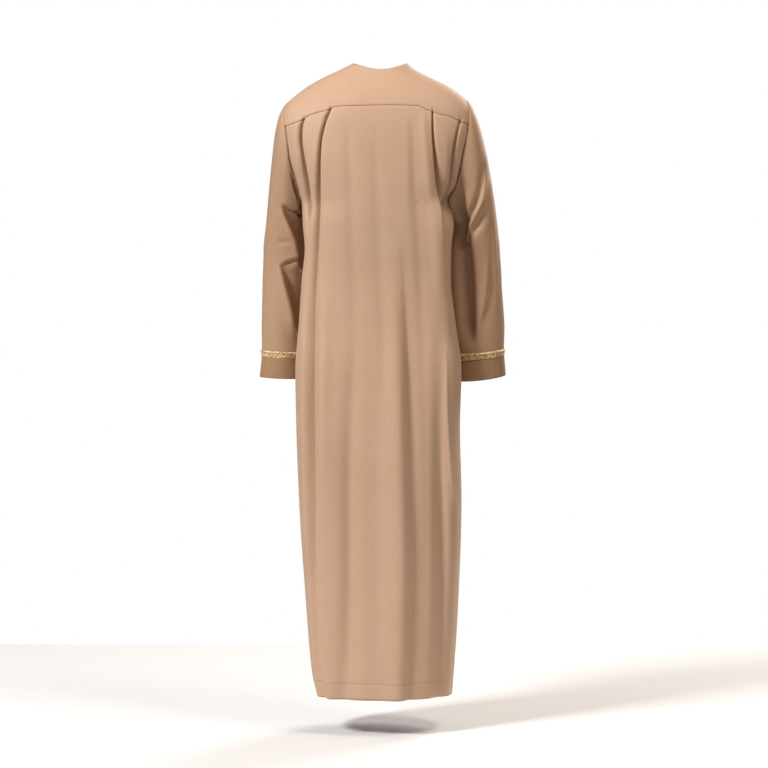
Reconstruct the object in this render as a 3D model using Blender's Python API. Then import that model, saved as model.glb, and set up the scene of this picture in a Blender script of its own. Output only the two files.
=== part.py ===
"""Thobe robe in plain tan cloth, with its worn shape and nobody in it.

The wearer faces +Y, so the back faces -Y, and +Z is up. The origin lies in the middle of the
neck opening, level with its two highest points. Sizes are in millimetres until the meshes are made.
Every panel is a wall of cloth, worked out from sections of the body of the robe and rings of its sleeves.
"""

import math

import bmesh
import bpy
import numpy as np

MM = 0.001

# Cloth and seams
CLOTH = 1.6
SEAM_HALF_GAP = 0.17
LAID_ON_GAP = 0.3
SMALL_STEP = 0.4
SMALL_TURN = 0.2
SMALL_SHARE = 0.01
CUFF_LIFT = 0.4

# Body of the robe: level sections, from the neck down to the hem.
# left and right are half widths, back and front are depths from the middle of the neck, middle is how
# far forward the widest line lies, and the last two say how square the section is (2 is an ellipse).
BODY_COLUMNS = ("height", "left", "right", "back", "front", "middle", "back_square", "front_square")
BODY_ROWS = (
    (0, 66, 64, 46, 50, 2, 2.0, 2.0),
    (-14, 93, 80, 53, 57, 2, 2.0, 2.0),
    (-33, 133, 115, 66, 64, 1, 2.1, 2.0),
    (-61, 180, 170, 86, 74, 0, 2.2, 2.1),
    (-90, 214, 203, 101, 86, -1, 2.35, 2.2),
    (-120, 238, 217, 111, 98, -3, 2.5, 2.3),
    (-156, 248, 223, 118, 109, -4, 2.6, 2.4),
    (-221, 238, 206, 125, 122, -6, 2.7, 2.5),
    (-284, 205, 184, 127, 127, -8, 2.7, 2.4),
    (-334, 184, 171, 126, 127, -12, 2.6, 2.2),
    (-380, 181, 171, 124, 124, -38, 2.6, 1.9),
    (-437, 176, 165, 120, 121, -50, 2.6, 1.8),
    (-508, 183, 164, 116, 120, -50, 2.6, 1.8),
    (-613, 190, 175, 118, 126, -50, 2.7, 1.8),
    (-719, 198, 188, 127, 133, -50, 2.8, 1.8),
    (-850, 196, 185, 137, 138, -42, 2.7, 2.0),
    (-1025, 190, 189, 140, 142, -28, 2.6, 2.2),
    (-1260, 175, 182, 138, 147, -14, 2.5, 2.3),
    (-1424, 161, 172, 137, 150, -8, 2.4, 2.3),
    (-1476, 149, 168, 136, 151, -6, 2.4, 2.3),
)
HEM_HEIGHT = -1476

# Neck opening: how far the edge dips behind and in front
NECK_DIP_BACK = 21
NECK_DIP_FRONT = 75

# Armholes: the loop runs up the back from the armpit, over the shoulder and down the front
ARMPIT_HEIGHT = -334
ARMHOLE_TOP = {"left": -90, "right": -84}
ARMHOLE_BACK_TURN = 19
ARMHOLE_FRONT_TURN = 17

# Yoke: seam across the back, as distance across and height, and its ends on the armhole and the neck
YOKE_SEAM_COLUMNS = ("across", "height")
YOKE_SEAM_ROWS = (
    (-222, -155),
    (-190, -147),
    (-160, -131),
    (-127, -123),
    (-100, -114),
    (0, -113),
    (85, -115),
    (104, -123),
    (136, -134),
    (160, -139),
    (188, -150),
    (204, -155),
)
YOKE_BACK_TURN = 62
YOKE_FRONT_TURN = -50
YOKE_NECK_ANGLE = 125
YOKE_SPOKE_AT_NECK = 62
YOKE_SEAM_TRIES = 12

# Folds in the body of the robe. groove is the depth of a trough along the path, step is how far the
# cloth drops towards the wearer's right as it crosses the path, and width is the fold's half width.
FOLD_COLUMNS = ("height", "across", "groove", "step", "width")
BACK_FOLDS = {
    "pleat_left": (
        (-114, -115, 0, 0, 5),
        (-132, -124, 4, -1, 5),
        (-160, -132, 6, -2, 5),
        (-215, -141, 7, -3, 6),
        (-307, -143, 7, -3, 6),
        (-422, -146, 6, -2, 7),
        (-536, -150, 4, -2, 9),
        (-743, -148, 3, -3, 12),
        (-926, -148, 4, -4, 12),
        (-1060, -156, 5, -4, 12),
        (-1300, -150, 4, -3, 12),
        (-1476, -128, 4, -3, 12),
    ),
    "pleat_right": (
        (-118, 118, 0, 0, 5),
        (-138, 119, 1, 4, 5),
        (-170, 119, 2, 6, 6),
        (-238, 123, 2, 8, 6),
        (-330, 132, 2, 8, 7),
        (-422, 143, 2, 7, 7),
        (-513, 150, 2, 5, 8),
        (-613, 156, 1, 4, 9),
        (-789, 155, -2, 1, 9),
        (-903, 160, -3, 1, 9),
        (-1060, 166, -3, 0, 9),
        (-1300, 160, -2, 0, 9),
        (-1476, 145, -2, 0, 9),
    ),
    "skirt_groove": (
        (-120, 50, 0, 0, 16),
        (-479, 54, 0, 0, 16),
        (-628, 59, 3, -1, 16),
        (-789, 61, 6, -2, 17),
        (-903, 66, 8, -2, 18),
        (-1060, 72, 10, -2, 18),
        (-1200, 71, 10, -2, 19),
        (-1339, 68, 9, -2, 19),
        (-1476, 63, 8, -2, 19),
    ),
    "skirt_left_hollow": (
        (-700, -62, 0, 0, 30),
        (-980, -70, 4, 0, 30),
        (-1155, -70, 5, 0, 28),
        (-1339, -75, 6, 0, 26),
        (-1476, -82, 6, 0, 24),
    ),
    "blade_left": (
        (-150, -60, 0, 0, 30),
        (-230, -50, -2, 0, 34),
        (-330, -30, 2, 0, 34),
        (-420, -10, 3, 0, 34),
        (-520, 10, 0, 0, 34),
    ),
}
FRONT_FOLDS = {
    "front_left_hollow": (
        (-420, -40, 0, 0, 22),
        (-620, -52, 3, 0, 22),
        (-900, -64, 8, 1, 20),
        (-1200, -72, 10, 2, 20),
        (-1476, -70, 8, 2, 20),
    ),
    "front_right_hollow": (
        (-480, 60, 0, 0, 24),
        (-700, 70, 4, 0, 24),
        (-950, 76, 8, -2, 20),
        (-1250, 84, 9, -2, 20),
        (-1476, 86, 8, -2, 20),
    ),
    "front_middle_hollow": (
        (-700, 8, 0, 0, 26),
        (-1000, 10, 4, 0, 24),
        (-1250, 4, 6, 0, 22),
        (-1476, 0, 6, 0, 22),
    ),
}

# Sleeves: rings from under the armpit to the cuff's edge. out is the ring's middle from the body's
# middle, forward is how far it lies in front, and the two rises tilt the ring up outwards and forwards.
SLEEVE_COLUMNS = ("height", "out", "forward", "half_width", "half_depth", "outer_rise", "front_rise")
SLEEVE_ROWS = {
    "left": (
        (-380, 223, 13, 47, 61, 0, 0),
        (-437, 222, 22, 54, 59, 0, 0),
        (-508, 225, 28, 53.5, 56, 0, 1),
        (-613, 228, 34, 53, 53, 1, 3),
        (-688, 230, 40, 51, 50, 2, 4),
        (-736, 233, 43, 53, 52, 2, 4),
    ),
    "right": (
        (-380, 221, 11, 54, 60, 0, 0),
        (-437, 219.5, 18, 61.5, 56, 0, 0),
        (-508, 221, 24, 64.5, 52, 1, 1),
        (-613, 229, 30, 63.5, 48, 3, 4),
        (-688, 232, 36, 60, 45, 6, 7),
        (-736, 235.5, 39, 60.5, 47, 7, 8),
    ),
}
SLEEVE_TOP_RING = -380
SLEEVE_END = -688
CUFF_END = -736

# How the sleeve leaves the armhole, at the top of the loop, at its sides and at the armpit
LEAVING_COLUMNS = ("outward", "backward", "down", "arriving")
LEAVING_ROWS = {
    "top": (110, 0, 40, 250),
    "side": (50, 12, 75, 150),
    "armpit": (25, 0, 42, 45),
}
SHARED_NORMAL_REACH = 0.1

# Creases of the sleeves: soft troughs between two points seen from behind, as across, height, across,
# height, then depth and half width
CREASE_COLUMNS = ("across_a", "height_a", "across_b", "height_b", "depth", "width")
SLEEVE_CREASES = {
    "left": (
        (-226, -345, -196, -412, 6, 10),
        (-232, -346, -190, -352, 3, 7),
        (-228, -480, -204, -575, 6, 11),
        (-229, -482, -182, -472, 3, 8),
    ),
    "right": (
        (252, -262, 196, -408, -6, 11),
        (236, -270, 190, -380, 5, 12),
        (262, -300, 214, -425, 4, 12),
        (256, -480, 232, -600, -4, 12),
    ),
}

# Trimming
BRAID_HEIGHT = 15
BRAID_ABOVE_SEAM = 0.5
BRAID_BASE = 1.0
# Columns: share of the braid's height, rise over its base. The last two rows are the cord.
BRAID_PROFILE = (
    (0.0, 0.2),
    (0.12, 0.5),
    (0.55, 0.5),
    (0.64, 0.2),
    (0.82, 0.9),
    (1.0, 0.2),
)
SLIT_LENGTH = 310
SLIT_HALF_GAP = 0.3
PLACKET_WIDTH = 32
PLACKET_PAST_SLIT = 22
PLACKET_ROWS = 14
PLACKET_COLUMNS = 5
BUTTON_COUNT = 4
BUTTON_RADIUS = 5.8
BUTTON_THICKNESS = 2.6
BUTTON_BEVEL = 0.7
BUTTON_SEGMENTS = 20
FIRST_BUTTON_BELOW_NECK = 22
BUTTON_SPACING = 82

# How finely each panel is divided
ROWS_BELOW_ARMPIT = 18
ROWS_ABOVE_ARMPIT = 9
YOKE_ARMHOLE_STEPS = 8
YOKE_STEPS_DOWN = 5
FRONT_NECK_STEPS = 7
BACK_COLUMN_COUNTS = (7, 2, 13, 2, 6, 2, 5)
FRONT_COLUMN_COUNT = 2 * (YOKE_STEPS_DOWN + FRONT_NECK_STEPS)
SLEEVE_STEPS_ABOVE = 7
SLEEVE_STEPS_BELOW = 8
CUFF_STEPS = 2
ROW_SAMPLES = 241

SIDES = ("left", "right")
SIDE_SIGN = {"left": -1.0, "right": 1.0}


def clear_scene():
    """Remove whatever the scene holds."""
    for thing in list(bpy.data.objects):
        bpy.data.objects.remove(thing, do_unlink=True)


def make_material(name, colour, roughness, metallic=0.0):
    """Make a plain material with the piece's colour."""
    material = bpy.data.materials.new(name)
    material.use_nodes = True
    shader = material.node_tree.nodes["Principled BSDF"]
    shader.inputs["Base Color"].default_value = (*colour, 1.0)
    shader.inputs["Roughness"].default_value = roughness
    shader.inputs["Metallic"].default_value = metallic
    return material


def smooth(at, places, values):
    """Read a table along a smooth curve that never goes past its rows."""
    places = np.asarray(places, float)
    values = np.asarray(values, float)
    if places[0] > places[-1]:
        places = places[::-1]
        values = values[::-1]
    at = np.clip(np.asarray(at, float), places[0], places[-1])
    steps = np.diff(places)
    slopes = np.diff(values) / steps
    tangents = np.concatenate(([slopes[0]], np.zeros(len(slopes) - 1), [slopes[-1]]))
    before = slopes[:-1]
    after = slopes[1:]
    same_way = before * after > 0
    total = np.where(same_way, before + after, 1.0)
    tangents[1:-1] = np.where(same_way, 2 * before * after / total, 0.0)
    row = np.clip(np.searchsorted(places, at) - 1, 0, len(steps) - 1)
    step = steps[row]
    part = (at - places[row]) / step
    rest = 1 - part
    return (
        values[row] * rest**2 * (1 + 2 * part)
        + values[row + 1] * part**2 * (1 + 2 * rest)
        + step * part * rest * (tangents[row] * rest - tangents[row + 1] * part)
    )


def column(rows, names, name):
    """One named column of a table."""
    return np.array([row[names.index(name)] for row in rows], float)


def body_value(name, height):
    """A column of the body's table at a height."""
    heights = column(BODY_ROWS, BODY_COLUMNS, "height")
    return smooth(height, heights, column(BODY_ROWS, BODY_COLUMNS, name))


def plain_body(angle, height):
    """Point of the body without folds. The angle is 0 behind, positive on the right, 180 in front."""
    turn = np.radians(angle)
    across = np.sin(turn)
    ahead = -np.cos(turn)
    middle = body_value("middle", height)
    half_width = np.where(across < 0, body_value("left", height), body_value("right", height))
    behind = ahead < 0
    depth = np.where(behind, body_value("back", height) + middle, body_value("front", height) - middle)
    square = np.where(behind, body_value("back_square", height), body_value("front_square", height))
    reach = ((np.abs(across) / half_width) ** square + (np.abs(ahead) / depth) ** square) ** (-1 / square)
    return np.stack((reach * across, middle + reach * ahead, height + 0 * reach), axis=-1)


def unit(vectors):
    """Vectors brought to length 1."""
    return vectors / np.linalg.norm(vectors, axis=-1, keepdims=True)


def surface_normal(surface, first, second, first_step, second_step):
    """Outward direction of a surface that is known by two values."""
    along_first = surface(first + first_step, second) - surface(first - first_step, second)
    along_second = surface(first, second + second_step) - surface(first, second - second_step)
    return unit(np.cross(along_first, along_second))


def fold_depth(rows, across, height):
    """How far one fold moves the cloth outwards at a place."""
    heights = column(rows, FOLD_COLUMNS, "height")
    groove, step, width, middle = (
        smooth(height, heights, column(rows, FOLD_COLUMNS, name))
        for name in ("groove", "step", "width", "across")
    )
    offset = (across - middle) / width
    return -groove * np.exp(-(offset**2)) - step * np.tanh(2 * offset) * np.exp(-((offset / 4) ** 2))


def body(angle, height):
    """Point of the body of the robe, with its folds."""
    base = plain_body(angle, height)
    normal = surface_normal(plain_body, angle, height, SMALL_TURN, SMALL_STEP)
    facing_back = np.cos(np.radians(angle))
    move = np.zeros_like(facing_back)
    for folds, facing in ((BACK_FOLDS, facing_back), (FRONT_FOLDS, -facing_back)):
        strength = np.clip(facing * 5, 0, 1)
        for rows in folds.values():
            move = move + strength * fold_depth(rows, base[..., 0], height)
    return base + normal * move[..., None]


def body_normal(angle, height):
    """Outward direction of the body's cloth."""
    return surface_normal(body, angle, height, SMALL_TURN, SMALL_STEP)


def armhole(side, turn):
    """Angle and height on the body, round the armhole: 0 at the top, 90 behind, 180 at the armpit."""
    around = np.radians(turn)
    top = ARMHOLE_TOP[side]
    height = (top + ARMPIT_HEIGHT) / 2 + (top - ARMPIT_HEIGHT) / 2 * np.cos(around)
    reach = np.where(np.sin(around) > 0, ARMHOLE_BACK_TURN, ARMHOLE_FRONT_TURN)
    return SIDE_SIGN[side] * (90 - reach * np.sin(around)), height


def neckline(angle):
    """Height of the neck edge at an angle."""
    facing_back = np.cos(np.radians(angle))
    return -np.where(facing_back > 0, NECK_DIP_BACK, NECK_DIP_FRONT) * facing_back**2


def sleeve_ring(side, turn, height):
    """Point of the sleeve's tube at a turn (0 outside, 90 behind, 180 next to the body) and a height."""
    rows = SLEEVE_ROWS[side]
    heights = column(rows, SLEEVE_COLUMNS, "height")
    out, forward, half_width, half_depth, outer_rise, front_rise = (
        smooth(height, heights, column(rows, SLEEVE_COLUMNS, name)) for name in SLEEVE_COLUMNS[1:]
    )
    around = np.radians(turn)
    across = SIDE_SIGN[side] * (out + half_width * np.cos(around))
    ahead = forward - half_depth * np.sin(around)
    rise = outer_rise * np.cos(around) - front_rise * np.sin(around)
    return np.stack((across, ahead, height + rise), axis=-1)


def leaving(name, around):
    """A column of the table of leaving directions, at a turn in radians."""
    place = LEAVING_COLUMNS.index(name)
    top, side, armpit = (LEAVING_ROWS[row][place] for row in ("top", "side", "armpit"))
    facing_up = np.cos(around)
    return side + (top - armpit) / 2 * facing_up + ((top + armpit) / 2 - side) * facing_up**2


def plain_sleeve(side, turn, along):
    """Point of a sleeve without creases: along is 0 at the armhole, 1 at the top ring, 2 at the cuff."""
    turn, along = np.broadcast_arrays(np.asarray(turn, float), np.asarray(along, float))
    around = np.radians(turn)
    start = body(*armhole(side, turn))
    end = sleeve_ring(side, turn, np.full_like(turn, SLEEVE_TOP_RING))
    below_end = sleeve_ring(side, turn, np.full_like(turn, SLEEVE_TOP_RING - 5.0))
    start_pull = np.stack(
        (
            SIDE_SIGN[side] * leaving("outward", around),
            -leaving("backward", around) * np.sin(around),
            -leaving("down", around),
        ),
        axis=-1,
    )
    end_pull = unit(below_end - end) * leaving("arriving", around)[..., None]
    part = np.clip(along, 0, 1)[..., None]
    rest = 1 - part
    above = (
        start * rest**2 * (1 + 2 * part)
        + end * part**2 * (1 + 2 * rest)
        + part * rest * (start_pull * rest - end_pull * part)
    )
    below = np.clip(along - 1, 0, None)
    lower = sleeve_ring(side, turn, SLEEVE_TOP_RING + (SLEEVE_END - SLEEVE_TOP_RING) * below)
    return np.where(along[..., None] <= 1, above, lower)


def crease_move(creases, across, height):
    """How far creases move the cloth outwards at places seen from behind."""
    move = np.zeros_like(across)
    for row in creases:
        crease = dict(zip(CREASE_COLUMNS, row))
        start = np.array((crease["across_a"], crease["height_a"]), float)
        run = np.array((crease["across_b"], crease["height_b"]), float) - start
        length = np.linalg.norm(run)
        run = run / length
        along = ((across - start[0]) * run[0] + (height - start[1]) * run[1]) / length
        beside = (across - start[0]) * run[1] - (height - start[1]) * run[0]
        past = np.clip(np.abs(along - 0.5) - 0.5, 0, None) * length
        fade = 0.35 + 0.65 * np.sin(np.pi * np.clip(along, 0, 1)) ** 0.8
        move = move - crease["depth"] * fade * np.exp(-(beside**2 + past**2) / crease["width"] ** 2)
    return move


def sleeve(side):
    """A sleeve as a surface of turn and along, with its creases."""

    def plain(turn, along):
        return plain_sleeve(side, turn, along)

    def creased(turn, along):
        base = plain(turn, along)
        facing = np.clip(np.sin(np.radians(turn)) * 2.5, 0, 1)
        started = np.clip(along * 4, 0, 1) * np.clip((1.9 - along) * 6, 0, 1)
        move = crease_move(SLEEVE_CREASES[side], base[..., 0], base[..., 2]) * facing * started
        normal = sleeve_normal_of(plain, side, turn, along)
        return base + normal * move[..., None]

    return creased


def sleeve_normal_of(surface, side, turn, along):
    """Outward direction of a sleeve's surface. At the armhole it is shared with the body."""
    inside = np.clip(along, 3 * SMALL_SHARE, None)
    own = surface_normal(surface, turn, inside, SMALL_TURN, SMALL_SHARE) * SIDE_SIGN[side]
    shared = body_normal(*armhole(side, np.asarray(turn, float)))
    weight = np.clip(1 - along / SHARED_NORMAL_REACH, 0, 1)[..., None]
    return unit(own * (1 - weight) + shared * weight)


def grid_faces(columns, rows, closed=False, flip=False):
    """Four-sided faces over a grid of points that is stored row by row."""
    faces = []
    for row in range(rows - 1):
        for place in range(columns if closed else columns - 1):
            beside = (place + 1) % columns
            face = (
                row * columns + place,
                row * columns + beside,
                (row + 1) * columns + beside,
                (row + 1) * columns + place,
            )
            faces.append(face[::-1] if flip else face)
    return faces


def make_object(name, points, faces, material):
    """Make one closed mesh object from points in millimetres."""
    mesh = bpy.data.meshes.new(name)
    mesh.from_pydata([tuple(point * MM) for point in points], [], faces)
    mesh.materials.append(material)
    mesh.shade_smooth()
    mesh.set_sharp_from_angle(angle=math.radians(50))
    mesh.validate()
    thing = bpy.data.objects.new(name, mesh)
    bpy.context.scene.collection.objects.link(thing)
    return thing


def cloth_wall(name, points, normals, faces, material, thickness=CLOTH, lift=0.0):
    """Make a wall of cloth. Its outer face lies on the points plus the lift, with rims at every edge."""
    points = points.reshape(-1, 3)
    normals = normals.reshape(-1, 3)
    outer = points + normals * np.asarray(lift).reshape(-1, 1)
    inner = outer - normals * np.asarray(thickness).reshape(-1, 1)
    count = len(points)
    used = {}
    for face in faces:
        for place, start in enumerate(face):
            used[(start, face[(place + 1) % len(face)])] = True
    walls = list(faces)
    walls += [tuple(corner + count for corner in reversed(face)) for face in faces]
    for start, end in used:
        if (end, start) not in used:
            walls.append((end, start, start + count, end + count))
    return make_object(name, np.concatenate((outer, inner)), walls, material)


def trimmed(first, second, surface, edges):
    """Draw the named edges of a grid in by half a seam's gap."""
    first = first.copy()
    second = second.copy()
    every = slice(None)
    cuts = {
        "bottom": ((0,), (1,)),
        "top": ((-1,), (-2,)),
        "start": ((every, 0), (every, 1)),
        "end": ((every, -1), (every, -2)),
    }
    for edge in edges:
        outer, inner = cuts[edge]
        here = surface(first[outer], second[outer])
        there = surface(first[inner], second[inner])
        share = SEAM_HALF_GAP / np.linalg.norm(there - here, axis=-1)
        first[outer] += (first[inner] - first[outer]) * share
        second[outer] += (second[inner] - second[outer]) * share
    return first, second


def spread(angles, heights, guides, counts):
    """Place a row's columns: evenly along the cloth between guide lines, which the row crosses in order."""
    points = plain_body(angles, heights)
    length = np.concatenate(([0], np.cumsum(np.linalg.norm(np.diff(points, axis=0), axis=1))))
    stops = [0.0]
    for guide in guides:
        past = points[:, 0] - guide(heights)
        stops.append(float(np.interp(0, past, length)))
    stops.append(length[-1])
    places = [np.linspace(a, b, n + 1)[:-1] for a, b, n in zip(stops, stops[1:], counts)]
    places = np.concatenate((*places, [length[-1]]))
    return np.interp(places, length, angles), np.interp(places, length, heights)


def guide_line(rows, shift):
    """A line beside a fold's path, as a function of height."""
    heights = column(rows, FOLD_COLUMNS, "height")
    across = column(rows, FOLD_COLUMNS, "across")
    return lambda height: smooth(height, heights, across) + shift


def levels():
    """Heights of the rows below the armpit, from the hem up."""
    return np.linspace(HEM_HEIGHT, ARMPIT_HEIGHT, ROWS_BELOW_ARMPIT + 1)


def yoke_seam_height(angles):
    """Height of the back yoke seam at angles round the body."""
    across = column(YOKE_SEAM_ROWS, YOKE_SEAM_COLUMNS, "across")
    heights = column(YOKE_SEAM_ROWS, YOKE_SEAM_COLUMNS, "height")
    found = np.full_like(angles, heights.mean())
    for _ in range(YOKE_SEAM_TRIES):
        found = 0.5 * found + 0.5 * smooth(plain_body(angles, found)[..., 0], across, heights)
    return found


def back_grid():
    """Angles and heights of the back panel's rows, from the hem to the yoke seam."""
    guides = []
    for name, shift in (("pleat_left", 6), ("skirt_groove", 15), ("pleat_right", 6)):
        guides += [guide_line(BACK_FOLDS[name], -shift), guide_line(BACK_FOLDS[name], shift)]
    rows = []
    for height in levels():
        angles = np.linspace(-90, 90, ROW_SAMPLES)
        rows.append(spread(angles, np.full_like(angles, height), guides, BACK_COLUMN_COUNTS))
    across = np.linspace(0, 1, ROW_SAMPLES)
    left_end = armhole("left", float(YOKE_BACK_TURN))
    right_end = armhole("right", float(YOKE_BACK_TURN))
    seam = yoke_seam_height(left_end[0] + (right_end[0] - left_end[0]) * across)
    seam = seam + (left_end[1] - seam[0]) * (1 - across) + (right_end[1] - seam[-1]) * across
    for turn in np.linspace(180, YOKE_BACK_TURN, ROWS_ABOVE_ARMPIT + 1)[1:]:
        left_angle, left_height = armhole("left", turn)
        right_angle, right_height = armhole("right", turn)
        raised = (left_height - ARMPIT_HEIGHT) / (left_end[1] - ARMPIT_HEIGHT)
        heights = ARMPIT_HEIGHT + (seam - ARMPIT_HEIGHT) * raised
        heights = heights + (left_height - heights[0]) * (1 - across) + (right_height - heights[-1]) * across
        angles = left_angle + (right_angle - left_angle) * across
        rows.append(spread(angles, heights, guides, BACK_COLUMN_COUNTS))
    return np.array([row[0] for row in rows]), np.array([row[1] for row in rows])


def yoke_front_edge(side):
    """Angles and heights along the front yoke seam, from the neck to the armhole."""
    share = np.linspace(0, 1, YOKE_STEPS_DOWN + 1)
    neck_angle = SIDE_SIGN[side] * YOKE_NECK_ANGLE
    end_angle, end_height = armhole(side, float(YOKE_FRONT_TURN))
    start_height = neckline(neck_angle)
    return neck_angle + (end_angle - neck_angle) * share, start_height + (end_height - start_height) * share


def yoke_grid(back_angles, back_heights):
    """Angles and heights of the yoke: a column for each spoke from the neck out, front left to front right."""
    turns = np.linspace(YOKE_FRONT_TURN, YOKE_BACK_TURN, YOKE_ARMHOLE_STEPS + 1)
    left = armhole("left", turns)
    right = armhole("right", turns[::-1])
    outer_angles = np.concatenate((left[0], back_angles[-1][1:-1], right[0]))
    outer_heights = np.concatenate((left[1], back_heights[-1][1:-1], right[1]))
    beside_neck = np.linspace(YOKE_NECK_ANGLE, YOKE_SPOKE_AT_NECK, YOKE_ARMHOLE_STEPS + 1)
    share = np.interp(back_angles[-1], (back_angles[-1][0], back_angles[-1][-1]), (-1, 1))
    behind_neck = share[1:-1] * YOKE_SPOKE_AT_NECK
    neck_angles = np.concatenate((-beside_neck, behind_neck, beside_neck[::-1]))
    neck_heights = neckline(neck_angles)
    down = np.linspace(1, 0, YOKE_STEPS_DOWN + 1)[:, None]
    return neck_angles + (outer_angles - neck_angles) * down, neck_heights + (outer_heights - neck_heights) * down


def front_grid():
    """Angles and heights of the front panel, from the wearer's right round to the left, hem to neck."""
    rows = []
    for height in levels():
        angles = np.linspace(90, 270, ROW_SAMPLES)
        rows.append(spread(angles, np.full_like(angles, height), (), (FRONT_COLUMN_COUNT,)))
    right_edge = yoke_front_edge("right")
    left_edge = yoke_front_edge("left")
    neck = np.linspace(YOKE_NECK_ANGLE, 360 - YOKE_NECK_ANGLE, 2 * FRONT_NECK_STEPS + 1)
    top_angles = np.concatenate((right_edge[0][::-1], neck[1:-1], left_edge[0] + 360))
    top_heights = np.concatenate((right_edge[1][::-1], neckline(neck[1:-1]), left_edge[1]))
    low_angles = rows[-1][0]
    across = np.linspace(0, 1, FRONT_COLUMN_COUNT + 1)
    for turn in np.linspace(-180, YOKE_FRONT_TURN, ROWS_ABOVE_ARMPIT + 1)[1:]:
        right_angle, right_height = armhole("right", turn)
        left_angle, left_height = armhole("left", turn)
        raised = (right_height - ARMPIT_HEIGHT) / (top_heights[0] - ARMPIT_HEIGHT)
        angles = low_angles + (top_angles - low_angles) * raised
        angles = angles + (right_angle - angles[0]) * (1 - across)
        angles = angles + (left_angle + 360 - angles[-1]) * across
        heights = ARMPIT_HEIGHT + (top_heights - ARMPIT_HEIGHT) * raised
        heights = heights + (left_height - heights[-1]) * across
        rows.append((angles, heights))
    return np.array([row[0] for row in rows]), np.array([row[1] for row in rows])


def make_back(angles, heights, cloth):
    """Back panel, with its two pleats and the long folds below them."""
    rows, columns = angles.shape
    angles, heights = trimmed(angles, heights, plain_body, ("top", "start", "end"))
    faces = grid_faces(columns, rows)
    cloth_wall("back_panel", body(angles, heights), body_normal(angles, heights), faces, cloth)


def make_yoke(angles, heights, cloth):
    """Yoke over both shoulders."""
    rows, columns = angles.shape
    angles, heights = trimmed(angles, heights, plain_body, ("bottom", "start", "end"))
    faces = grid_faces(columns, rows)
    cloth_wall("yoke", body(angles, heights), body_normal(angles, heights), faces, cloth)


def make_front(angles, heights, cloth):
    """Front panel, slit from the neck down its middle column."""
    rows, columns = angles.shape
    angles, heights = trimmed(angles, heights, plain_body, ("top", "start", "end"))
    points = body(angles, heights)
    normals = body_normal(angles, heights)
    middle = columns // 2
    slit_end = neckline(180.0) - SLIT_LENGTH
    slit_row = int(np.argmin(np.abs(heights[:, middle] - slit_end)))
    count = rows * columns
    flat_points = list(points.reshape(-1, 3))
    flat_normals = list(normals.reshape(-1, 3))
    second = {}
    for row in range(slit_row + 1, rows):
        here = row * columns + middle
        second[here] = count + len(second)
        flat_points.append(flat_points[here] + np.array((-SLIT_HALF_GAP, 0, 0)))
        flat_points[here] = flat_points[here] + np.array((SLIT_HALF_GAP, 0, 0))
        flat_normals.append(flat_normals[here])
    faces = []
    for face in grid_faces(columns, rows):
        beyond = min(corner % columns for corner in face) >= middle
        faces.append(tuple(second.get(corner, corner) for corner in face) if beyond else face)
    cloth_wall("front_panel", np.array(flat_points), np.array(flat_normals), faces, cloth)


def make_placket(cloth):
    """Strip over the slit, from the neck edge to past the slit's end."""
    top = neckline(180.0) - LAID_ON_GAP
    bottom = neckline(180.0) - SLIT_LENGTH - PLACKET_PAST_SLIT
    heights = np.linspace(bottom, top, PLACKET_ROWS)[:, None]
    reach = body_value("front", heights) - body_value("middle", heights)
    turn = np.degrees(np.arctan(PLACKET_WIDTH / 2 / reach))
    angles = 180 + turn * np.linspace(-1, 1, PLACKET_COLUMNS)
    heights = heights + 0 * angles
    lift = LAID_ON_GAP + CLOTH
    faces = grid_faces(PLACKET_COLUMNS, PLACKET_ROWS)
    normals = body_normal(angles, heights)
    cloth_wall("front_placket", body(angles, heights), normals, faces, cloth, CLOTH, lift)


def make_buttons(material):
    """Plain round buttons down the placket."""
    for number in range(BUTTON_COUNT):
        height = neckline(180.0) - FIRST_BUTTON_BELOW_NECK - number * BUTTON_SPACING
        place = np.array(180.0), np.array(float(height))
        point = body(*place)
        normal = body_normal(*place)
        lift = LAID_ON_GAP + CLOTH + LAID_ON_GAP + BUTTON_THICKNESS / 2
        shape = bmesh.new()
        bmesh.ops.create_cone(
            shape,
            cap_ends=True,
            segments=BUTTON_SEGMENTS,
            radius1=BUTTON_RADIUS * MM,
            radius2=BUTTON_RADIUS * MM,
            depth=BUTTON_THICKNESS * MM,
        )
        rims = [edge for edge in shape.edges if abs(edge.verts[0].co.z - edge.verts[1].co.z) < 1e-7]
        bmesh.ops.bevel(shape, geom=rims, offset=BUTTON_BEVEL * MM, segments=1, affect="EDGES")
        mesh = bpy.data.meshes.new(f"button_{number + 1}")
        shape.to_mesh(mesh)
        shape.free()
        mesh.materials.append(material)
        mesh.shade_smooth()
        mesh.set_sharp_from_angle(angle=math.radians(40))
        button = bpy.data.objects.new(f"button_{number + 1}", mesh)
        button.location = tuple((point + normal * lift) * MM)
        button.rotation_euler = (-math.atan2(normal[1], normal[2]), 0, 0)
        bpy.context.scene.collection.objects.link(button)


def armhole_turns():
    """Turns round the armhole that match the edges of the front, the yoke and the back."""
    front = np.linspace(-180, YOKE_FRONT_TURN, ROWS_ABOVE_ARMPIT + 1)
    yoke = np.linspace(YOKE_FRONT_TURN, YOKE_BACK_TURN, YOKE_ARMHOLE_STEPS + 1)
    back = np.linspace(YOKE_BACK_TURN, 180, ROWS_ABOVE_ARMPIT + 1)
    return np.concatenate((front[:-1], yoke[:-1], back[:-1]))


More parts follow.
